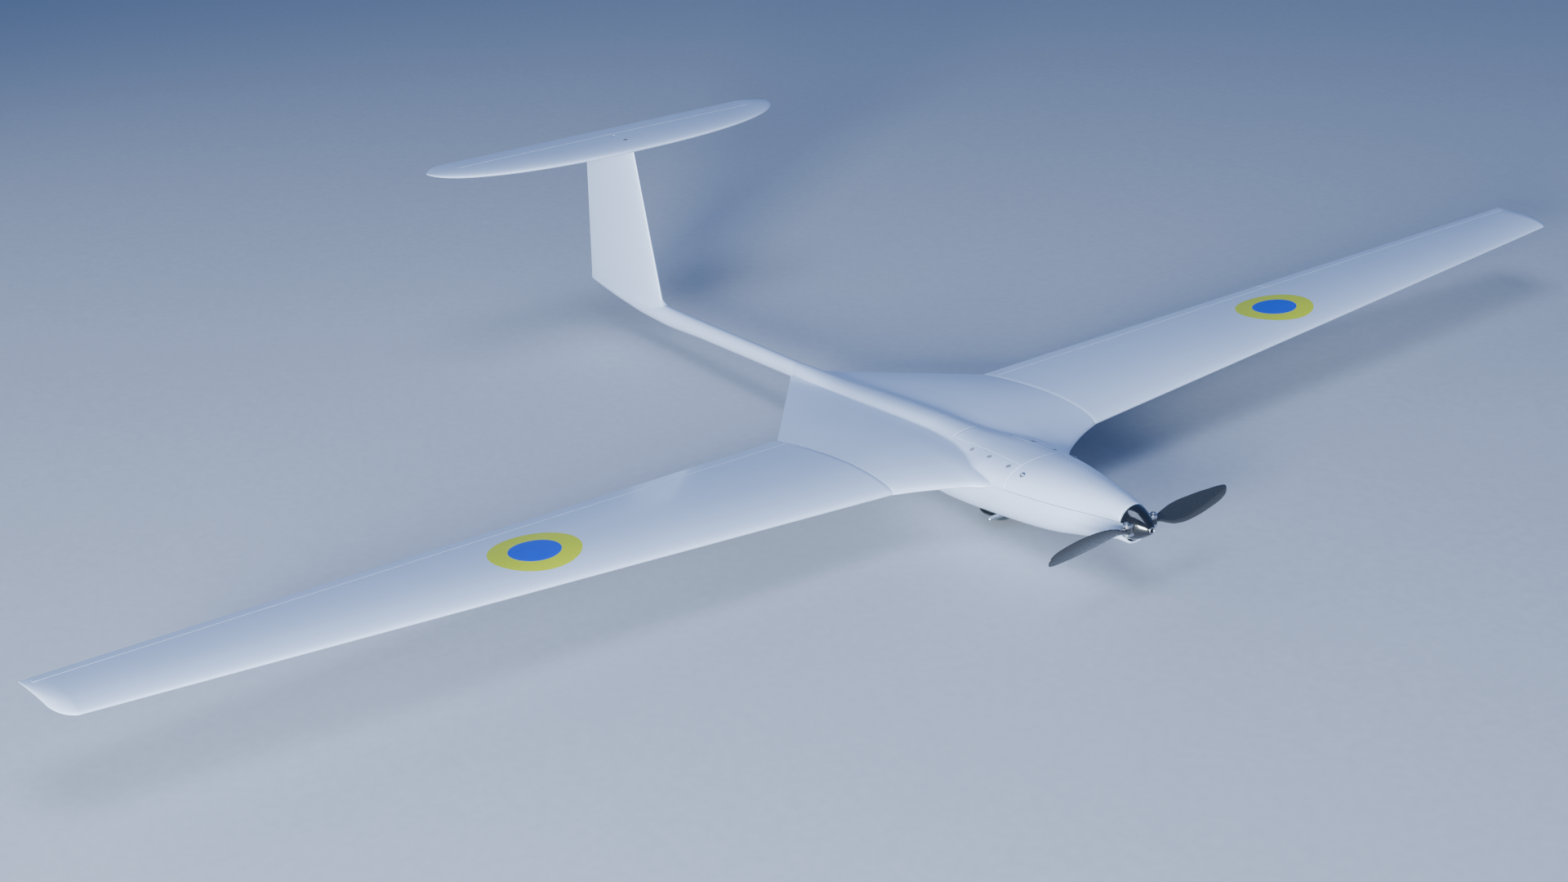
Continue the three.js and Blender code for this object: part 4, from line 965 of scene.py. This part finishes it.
def build_centre():
    rows = [(COWL_REAR_X - GAP - back, drop) for back, drop in FRONT_EDGE]
    rows += [(x, 0) for x in np.linspace(66, 60, 6)]
    start = 60
    for end, count in ((38, 52), (0, 25), (JOINT_TE[0], 60), (CENTRE_TE[0] + 0.8, 50)):
        rows += [(x, 0) for x in np.linspace(start, end, count)[1:]]
        start = end
    top, bottom = [], []
    for x, drop in rows:
        y = centre_columns(x)
        low = bottom_z(x, y)
        high = np.maximum(top_z(x, y) - drop, low)
        top.append(np.stack((np.full_like(y, x), y, high), -1))
        bottom.append(np.stack((np.full_like(y, x), y, low), -1))
    body = shell("centre_skin", np.array(top), np.array(bottom), PAINT)
    hatch_cut = wall_cutter("hatch_cut", hatch_outline(GAP, COWL_REAR_X + 8), -3, 60)
    well = [(-6, 1.5), (-0.5, 1.5), (-0.5, 2.95), (0.05, 2.97), (0.3, 3.1), (3, 3.3)]
    wells = [
        turned("well", well, None, 24, *on_pod(x, sign * y)) for x, y in SIDE_SCREWS for _, sign in SIDES
    ]
    combine(body, "DIFFERENCE", [bay_cutter(), hatch_cut, joiner_bore(), *wells])
    keep_skin(body, "centre_body")


def on_pod(x, y):
    """Place on the pod's upper skin and the direction square to it there."""
    below, here, above = (float(pod_top(x, y + step)) for step in (-1, 0, 1))
    return (x, y, here), (0, (below - above) / 2, 1)


def build_hatch():
    """Hatch cover: a plate with the same upper skin as the body it closes."""
    xs = stations(HATCH["rear"], HATCH["front"], 40, SEAM)
    top = []
    for x in xs:
        half = hatch_half(x)
        y = stations(-half, half, 33, SEAM)
        top.append(np.stack((np.full_like(y, x), y, top_z(x, y)), -1))
    top = np.array(top)
    bottom = top - (0, 0, WALL)
    cover = shell("hatch_skin", soften_rim(top, bottom, 0.22), bottom, PAINT)
    keep(cover, "hatch", "white_paint", "hatch_cover")


# ---- nose cowl and belly shell
def parting_angle(x, offset):
    """Angle round the pod's section at which it meets the parting surface."""
    top, belly, _, _, middle = read_pod(x)
    z = float(parting_z(x)) + offset
    if z >= middle:
        return math.asin(min(1, ((z - middle) / (top - middle)) ** (POD_POWER / 2)))
    return -math.asin(min(1, ((middle - z) / (middle - belly)) ** (POD_POWER / 2)))


def build_cowl():
    xs = stations(COWL_REAR_X, NOSE_X - GAP, 44, 0.6)
    outer, inner = [], []
    for x in xs:
        start = parting_angle(x, GAP / 2)
        angles = stations(start, math.pi - start, 57, 0.012)
        outer.append(pod_ring(x, angles))
        inner.append(pod_ring(x, angles, WALL))
    outer, inner = np.array(outer), np.array(inner)
    cowl = shell("cowl_skin", soften_rim(outer, inner, 0.2), inner, PAINT)
    x, y = COWL_SCREW
    holes = [bar(-6, 4, 1.5, 16, *on_pod(x, sign * y)) for _, sign in SIDES]
    keep_skin(combine(cowl, "DIFFERENCE", holes), "nose_cowl")


def scallop(points):
    """Hollow close under the parting line beside the spinner, where a folded blade lies."""
    x, y, z = points[..., 0], points[..., 1], points[..., 2]
    below = parting_z(x) - z
    deep = 5.7 * smoothstep(126, 198, x) + 1.5 * smoothstep(203, 209, x)
    band = smoothstep(0.1, 1.5, below) * (1 - smoothstep(1.5, 13, below))
    return points - np.stack((np.zeros_like(x), np.sign(y) * deep * band, np.zeros_like(x)), -1)


def build_belly():
    front = NOSE_X - GAP
    xs = stations(front, BODY_REAR_X, 150, 0.6)
    outer, inner = [], []
    for x in xs:
        start = parting_angle(x, -GAP / 2)
        angles = start - (math.pi + 2 * start) * (1 + rounded(111)) / 2
        thick = min(WALL, 0.35 * float(read_pod(x)[3]))
        outer.append(pod_ring(x, angles))
        inner.append(pod_ring(x, angles, thick))
    outer, inner = scallop(np.array(outer)), scallop(np.array(inner))
    outer[..., 2] = soft_max(outer[..., 2], BELLY_Z, 1.0)
    inner[..., 2] = soft_max(inner[..., 2], BELLY_Z + WALL, 1.0)
    lip = smoothstep(front - 10, front, outer[..., 0]) * smoothstep(-12, -17.5, outer[..., 2])
    for grid in (outer, inner):
        grid += lip[..., None] * LIP_SHIFT
    belly = shell("belly_skin", soften_rim(outer, inner, 0.2), inner, PAINT)
    opening = bar(-12, 6, DOME["radius"] + GAP, 96, (DOME["x"], 0, BELLY_Z), Z_AXIS)
    peg_hole = bar(-60, 60, PEG["radius"] + GAP, 32, (PEG["x"], 0, PEG["z"]), Y_AXIS)
    keep_skin(combine(belly, "DIFFERENCE", [opening, peg_hole]), "belly_shell")


# ---- boom, fin and tailplane
read_boom = curve(BOOM)


def build_boom():
    around = np.linspace(0, 2 * math.pi, 48, endpoint=False)
    rings = []
    for start, end, count in ((BODY_REAR_X, -690, 40), (-696, -880, 44), (-883, -897, 8)):
        for x in np.linspace(start, end, count):
            middle, half, height = read_boom(x)
            ring = np.full_like(around, x), half * np.cos(around), middle + height * np.sin(around)
            rings.append(np.stack(ring, -1))
    keep_skin(loft("boom_skin", rings, PAINT), "tail_boom")


def stab_section(y):
    s = min(abs(y) / STAB["half"], 1)
    lead = mix(STAB["tip_le"], STAB["le"], math.sqrt(1 - s**2.3))
    curl = max(0.0, s - 0.86) / 0.14
    trail = STAB["te"] + 26 * curl**2.4
    return np.array((lead, y, STAB["z"])), np.array((trail, y, STAB["z"])), (STAB["thick"], 0)


def stab_hinge(y):
    le, te, foil = stab_section(y)
    fraction = (le[0] - STAB["hinge"]) / (le[0] - te[0])
    return fraction, skin(le, te, foil, fraction, 1)[0]


def build_tailplane():
    ends = STAB["elevator"]
    axis_z = (stab_hinge(0)[1][2] + stab_hinge(ends)[1][2]) / 2
    link_y = LINKS["elevator"][0]
    pieces, room = make_link("elevator", np.array((STAB["hinge"], link_y, axis_z)), np.array(Y_AXIS))
    keep_link("elevator", pieces, ("",))
    spans = (STAB["half"] - 0.4) * rounded(61)
    stab = loft("stab_skin", [foil_ring(*stab_section(y), steps=28) for y in spans], PAINT)
    slices = [stab_hinge(y)[1] for y in np.linspace(-ends - GAP, ends + GAP, 31)]
    rear = hinge_cutter("elevator_room", slices, -950, 300)
    bores = [bar(150, 230, 3.4, 24, (x, 0, 0), Z_AXIS) for x in STAB_BOLTS.values()]
    combine(stab, "DIFFERENCE", [rear, room, *bores])
    keep_skin(stab, "stabilizer")
    rings = []
    for y in ends * rounded(41):
        le, te, foil = stab_section(y)
        rings.append(flap_ring(le, te, foil, stab_hinge(y)[0]))
    keep(loft("elevator_skin", softened_ends(rings), PAINT), "elevator", "white_paint", "elevator")


def build_fin():
    """Fin with a fillet at the boom and a top that follows the tailplane's underside."""
    steps, levels = 30, 60
    forward = (1 + np.cos(np.linspace(0, math.pi, steps + 1))) / 2
    x_share = np.concatenate((forward, forward[-2::-1]))
    side = np.concatenate((np.ones(steps + 1), -np.ones(steps)))
    half, _ = foil_heights(x_share, FIN["thick"], 0)
    rings = []
    for v in np.linspace(0, 1, levels):
        z = mix(FIN["root_z"], 201, v)
        for _ in range(3):
            t = (z - FIN["root_z"]) / (FIN["top_z"] - FIN["root_z"])
            nose, tail = (mix(FIN["root"][end], FIN["top"][end], t) for end in (0, 1))
            x = mix(nose, tail, x_share)
            z = mix(FIN["root_z"], fin_top(x), v)
        y = side * (half * (nose - tail) + EDGE * x_share)
        boom = read_boom(x)
        above = np.clip((z - boom[:, 0] - boom[:, 2]) / 9, 0, 1)
        flare = 3.6 * (1 - np.sqrt(1 - (1 - above) ** 2)) * (z > boom[:, 0])
        y += side * flare * np.minimum(1, np.abs(y) / 1.5)
        x = x + np.where(x_share < 0.02, flare * 1.6, 0)
        rings.append(np.stack((x, y, z), -1))
    keep_skin(loft("fin_skin", rings, PAINT), "fin")


def fin_top(x):
    """Height of the fin's top: just inside the tailplane ahead of the hinge, bevelled down behind it."""
    le, te, foil = stab_section(0)
    fraction = np.clip((le[0] - x) / (le[0] - te[0]), 0, 1)
    under = skin(le, te, foil, fraction, -1)[:, 2] + 0.4
    bevelled = 195.6 - (STAB["hinge"] + 4 - x) * FIN["bevel"]
    return np.where(x > STAB["hinge"] + 4, under, np.minimum(under, bevelled))


# ---- spinner and folding propeller
def spinner_radius(x, sunk=0.0):
    t = (x - SPINNER["base"]) / (SPINNER["tip"] - SPINNER["base"])
    return mix(SPINNER["tip_radius"], SPINNER["base_radius"], max(0.0, 1 - t**1.4) ** 0.9) - sunk


def blade_hinge(sign):
    """Place of a blade's hinge and its axis."""
    return (PROP["x"], sign * PROP["hinge"], 0), Z_AXIS


def build_spinner():
    base, tip = SPINNER["base"], SPINNER["tip"]
    xs = np.linspace(base + 0.5, tip, 44)
    outer = [(base, spinner_radius(base) - 0.5), *[(x, spinner_radius(x)) for x in xs]]
    mouth = [(tip, SPINNER["ring"] + GAP), (tip - 8, SPINNER["ring"] + GAP)]
    hollow = [(x, spinner_radius(x, 1.6)) for x in np.linspace(tip - 9, base + 0.1, 16)]
    spinner = turned("spinner_shell", [*outer, *mouth, *hollow], BLACK_GLOSS, 96)
    x = PROP["x"]
    front = plate("fork_room", round_box((x - 5.1, -6.7), (x + 5.1, 6.7), 2.4), -40, 40, up=1)
    rear = block("fold_room", (base - 2, -40, -4.6), (x, 40, 4.6))
    pins = [bar(-9, 9, 3.3, 32, *blade_hinge(sign)) for _, sign in SIDES]
    cut = combine(front, "UNION", [rear, *pins])
    keep(bevel(combine(spinner, "DIFFERENCE", [cut]), 0.3), "propeller", "black_gloss", "spinner")
    bore, lip = 2.3, 0.4
    nut = [(tip - 9, bore), (tip - 9, SPINNER["ring"]), (tip + 0.6, SPINNER["ring"]),
           (tip + 1, SPINNER["ring"] - lip), (tip + 1, bore + lip), (tip + 0.6, bore)]
    keep(tube("spinner_ring", nut, ALLOY, 64), "propeller", "alloy", "spinner_nut")


def build_yoke():
    """Alloy cross-piece with a rounded fork at each end for the blade roots."""
    x, reach = PROP["x"], PROP["hinge"] + 3.9
    outline = round_box((x - 4.4, -reach), (x + 4.4, reach), 4.2, 8)
    yoke = combine(plate("yoke", outline, -6.2, 6.2, ALLOY), "UNION", [bar(212, x + 4.5, 7, 48)])
    slots = side_blocks((x - 12, 11.5, -3.2), (x + 12, 40, 3.2))
    pins = [bar(-12, 12, 1.6, 24, *blade_hinge(sign)) for _, sign in SIDES]
    combine(yoke, "DIFFERENCE", [*slots, *pins, bar(200, 240, 2.2)])
    keep(bevel(yoke, 0.35, 3), "propeller", "alloy", "prop_yoke")


def build_pins():
    """Shouldered pin with a dished head."""
    shank = [(-7.4, 1.3), (-7.2, 1.5), (6.5, 1.5)]
    profile = shank + [(6.5, 2.5), (6.7, 2.6), (8.0, 2.6), (8.3, 2.3), (8.3, 1.3), (7.3, 1.2)]
    for side, sign in SIDES:
        pin = turned(f"hinge_pin_{side}", profile, STEEL, 32, *blade_hinge(sign))
        keep(pin, "propeller", "steel", f"blade_pin_{side}")


def blade_ring(row):
    y, chord, thick, pitch, sweep = row
    angle = math.radians(pitch)
    along = np.array((math.sin(angle), 0, -math.cos(angle)))
    up = np.array((math.cos(angle), 0, math.sin(angle)))
    middle = np.array((PROP["x"], y, -sweep))
    ring = foil_ring(middle + along * chord / 2, middle - along * chord / 2, (thick, 0.03), up, 24)
    round_share = 1 - float(smoothstep(22, 31, y))
    angles = np.linspace(0, 2 * math.pi, len(ring), endpoint=False)
    oval = middle - along * (chord / 2 * np.cos(angles))[:, None] + up * (2.9 * np.sin(angles))[:, None]
    return mix(ring, oval, round_share)


def build_blades():
    read = curve(BLADE)
    tip = BLADE_TIP - 5 * (1 - np.sin(np.linspace(0.15, math.pi / 2, 10)))
    spans = np.concatenate((np.linspace(BLADE_ROOT, 34, 18), np.linspace(36, 112, 30), tip))
    blade = loft("blade", [blade_ring((y, *read(y))) for y in spans], CARBON)
    tongue = turned("tongue", [(-2.9, 3.9), (-2.7, 4.1), (2.7, 4.1), (2.9, 3.9)], None, 48, *blade_hinge(1))
    combine(combine(blade, "UNION", [tongue]), "DIFFERENCE", [bar(-5, 5, 1.62, 24, *blade_hinge(1))])
    shaft = Matrix.Translation((0, 0, ORIGIN[2] * MM))
    other = copied(blade, "blade", shaft @ Matrix.Rotation(math.pi, 4, "X") @ shaft.inverted())
    for side, obj in (("left", blade), ("right", other)):
        obj.name = f"blade_skin_{side}"
        keep(obj, f"blade_{side}", "carbon", f"blade_{side}")


# ---- screws, peg and camera
def drawn_box(node):
    """Lowest and highest corners of a CAD node, in drawing coordinates."""
    return [np.array(corner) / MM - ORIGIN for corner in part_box(node)]


def socket_head(name, at, axis, look, head, height):
    """Round-headed screw with a hexagon socket."""
    dome = [(height * up, head * out) for up, out in ((0.45, 0.97), (0.8, 0.8), (1, 0.5))]
    profile = [(-6, 1.1), (0, 1.15), (0, head - 0.2), (0.15, head), *dome]
    screw = turned(name, profile, look, 40, at, axis)
    return combine(screw, "DIFFERENCE", [bar(height * 0.25, height + 2, head * 0.46, 6, at, axis)])


def build_screws():
    for side, sign in SIDES:
        for i, (x, y) in enumerate(SIDE_SCREWS, 1):
            at, axis = on_pod(x, sign * y)
            sunk = np.array(at) - 0.45 * np.array(axis) / np.linalg.norm(axis)
            screw = socket_head(f"side_screw_{side}_{i}", sunk, axis, ZINC, 2.9, 0.55)
            keep(screw, "airframe", "dark_screw", f"hatch_screw_{side}_{i}")
        x, y = COWL_SCREW
        screw = socket_head(f"cowl_bolt_{side}", *on_pod(x, sign * y), STEEL, 3.2, 1.5)
        keep(screw, "airframe", "steel", f"cowl_screw_{side}")
    for name, x in STAB_BOLTS.items():
        low, high = (corner[2] for corner in drawn_box(name))
        shank = [(low, 1.3), (low + 0.3, 1.5), (high - 2.2, 1.5)]
        cone = [(high - 0.2, 3.0), (high, 2.9), (high, 1.5), (high - 1.4, 1.4)]
        bolt = turned(f"{name}_turned", shank + cone, DARK_STEEL, 32, (x, 0, 0), Z_AXIS)
        keep(bolt, "airframe", "dark_screw", name)


def build_mount():
    """Motor plate with four screw holes, cut flat where the belly shell beside it is hollowed."""
    low, high = drawn_box("motor_mount")
    rear, front, radius, bore, edge, circle = low[0], high[0], high[1], 5.5, 0.4, 9
    rim = [(front, radius - edge), (front - edge, radius), (rear + edge, radius), (rear, radius - edge)]
    ring = tube("motor_plate", [(rear, bore), (front, bore), *rim], ALLOY, 96)
    flats = side_blocks((rear - 1, 10.8, -30), (front + 1, 30, 30))
    holes = [bar(rear - 1, front + 1, 1.3, 20, (0, circle * math.cos(a), circle * math.sin(a)))
             for a in np.radians((45, 135, 225, 315))]
    keep(bevel(combine(ring, "DIFFERENCE", flats + holes), 0.2), "airframe", "alloy", "motor_mount")


def build_peg():
    half, radius = PEG["half"], PEG["radius"]
    end = [(half - 0.3, radius), (half, radius - 0.3), (half, radius - 0.75), (half - 0.3, radius - 0.9)]
    profile = end + [(-along, r) for along, r in end[::-1]]
    peg = tube("peg_tube", profile, STEEL, 40, (PEG["x"], 0, PEG["z"]), Y_AXIS)
    keep(peg, "airframe", "steel", "launch_peg")


def arc(radius, start, end, count):
    """Profile points round a ball, by the angle from its lowest point."""
    return [(-radius * math.cos(a), radius * math.sin(a)) for a in np.linspace(start, end, count)]


def build_camera_eye():
    x, radius = DOME["x"], DOME["radius"] - 0.2
    rim = math.acos(1 / DOME["radius"])
    bubble = turned("dome_bubble", arc(radius, 0.02, rim, 24) + arc(radius - 1.4, rim, 0.02, 24), SMOKE, 72,
                    (x, 0, DOME["z"]), Z_AXIS)
    keep(bubble, "airframe", "dome_glass", "camera_dome")
    outline = [(-0.2, 0.2), (-0.9, 0.3), (-1.1, 1), (-0.9, 2.8), (-0.4, 3.1), (0.5, 3.1), (0.5, 0.2)]
    profile = [(along, DOME["radius"] + GAP + out) for along, out in outline]
    keep(tube("dome_bezel", profile, PLASTIC, 72, (x, 0, BELLY_Z), Z_AXIS), "airframe", "black_plastic")
    middle, look_along = (x, 0, DOME["z"] - 1), (13, 0, -8)
    stem = [(10.5, 8), (12.5, 8), (14, 7.8), (14, 1)]
    head = turned("camera_ball", arc(11.4, 0.02, 2.45, 40) + stem, PLASTIC, 64, middle, Z_AXIS)
    barrel = [(6, 5), (14.2, 5), (14.9, 4.6), (15, 4.1), (13.6, 3.7), (13.2, 3.2), (12.8, 1)]
    combine(head, "UNION", [turned("barrel", barrel, None, 48, middle, look_along)])
    keep(head, "camera_head", "black_plastic", "camera_head")
    glass = [(12.5, 3.3), (13.0, 3.2), (13.5, 2.2), (13.8, 0.6)]
    keep(turned("camera_lens", glass, LENS, 40, middle, look_along), "camera_head", "dome_glass")


# ---- CAD nodes that stay as they are
KEPT = {  # look, softened corner
    "wing_joiner": (ROD_CARBON, 0.0), "equipment_tray": (PLY, 0.25), "battery": (WRAP, 1.2),
    "autopilot": (PLASTIC, 0.6), "receiver": (BOARD, 0.3), "speed_controller": (PLASTIC, 0.6),
    "motor_base": (ALLOY, 0.3), "motor_rotor": (DARK_STEEL, 0.3),
}
SERVO_ARMS = [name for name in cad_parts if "_servo_arm" in name]


def dress_kept_nodes():
    for name, (look, width) in (KEPT | dict.fromkeys(SERVO_ARMS, (ALLOY, 0.15))).items():
        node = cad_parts[name]
        node.data.materials.clear()
        node.data.materials.append(look)
        if width:
            bevel(node, width, 3)


# ---- studio
FLOOR_HALF = 9000
CAMERA = {  # metres; degrees of tilt, roll and turn; millimetres
    "place": (1.61704, -1.24938, 0.93529), "turn": (66.7997, 3.4777, 56.0533), "lens": 46.298, "sensor": 36.0,
}
SKY = (rgb(112, 152, 226), 0.5)
LIGHTS = (  # place in metres, side, watts, colour
    ("key", (2.3, -3.1, 0.75), 1.2, 430, rgb(236, 246, 255)),
    ("overhead", (0.5, -0.5, 2.8), 1.6, 46, rgb(196, 214, 250)),
    ("rim", (-2.2, -1.6, 1.6), 1.2, 10, rgb(230, 238, 255)),
)


def build_studio():
    corners = [(x * FLOOR_HALF, y * FLOOR_HALF, 0) for x, y in ((-1, -1), (1, -1), (1, 1), (-1, 1))]
    floor = solid("floor", corners, [[0, 1, 2, 3]], FLOOR)
    floor.location.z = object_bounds()[0].z - ORIGIN[2] * MM
    floor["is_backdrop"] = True
    world = bpy.data.worlds.new("studio")
    bpy.context.scene.world = world
    world.use_nodes = True
    sky = world.node_tree.nodes["Background"].inputs
    sky["Color"].default_value, sky["Strength"].default_value = SKY
    for name, at, size, power, tint in LIGHTS:
        data = bpy.data.lights.new(name, "AREA")
        data.size, data.energy, data.color = size, power, tint[:3]
        light = add_to_scene(name, data)
        light.location = at
        light.rotation_euler = (-Vector(at)).to_track_quat("-Z", "Y").to_euler()
    data = bpy.data.cameras.new("camera")
    data.lens, data.sensor_width = CAMERA["lens"], CAMERA["sensor"]
    camera = add_to_scene("camera", data)
    camera.location = CAMERA["place"]
    camera.rotation_euler = [math.radians(angle) for angle in CAMERA["turn"]]
    bpy.context.scene.camera = camera


for make in (
    build_wing, build_centre, build_hatch, build_cowl, build_belly, build_boom, build_tailplane, build_fin,
    build_spinner, build_yoke, build_pins, build_blades, build_screws, build_mount, build_peg,
    build_camera_eye, dress_kept_nodes, build_studio,
):
    make()
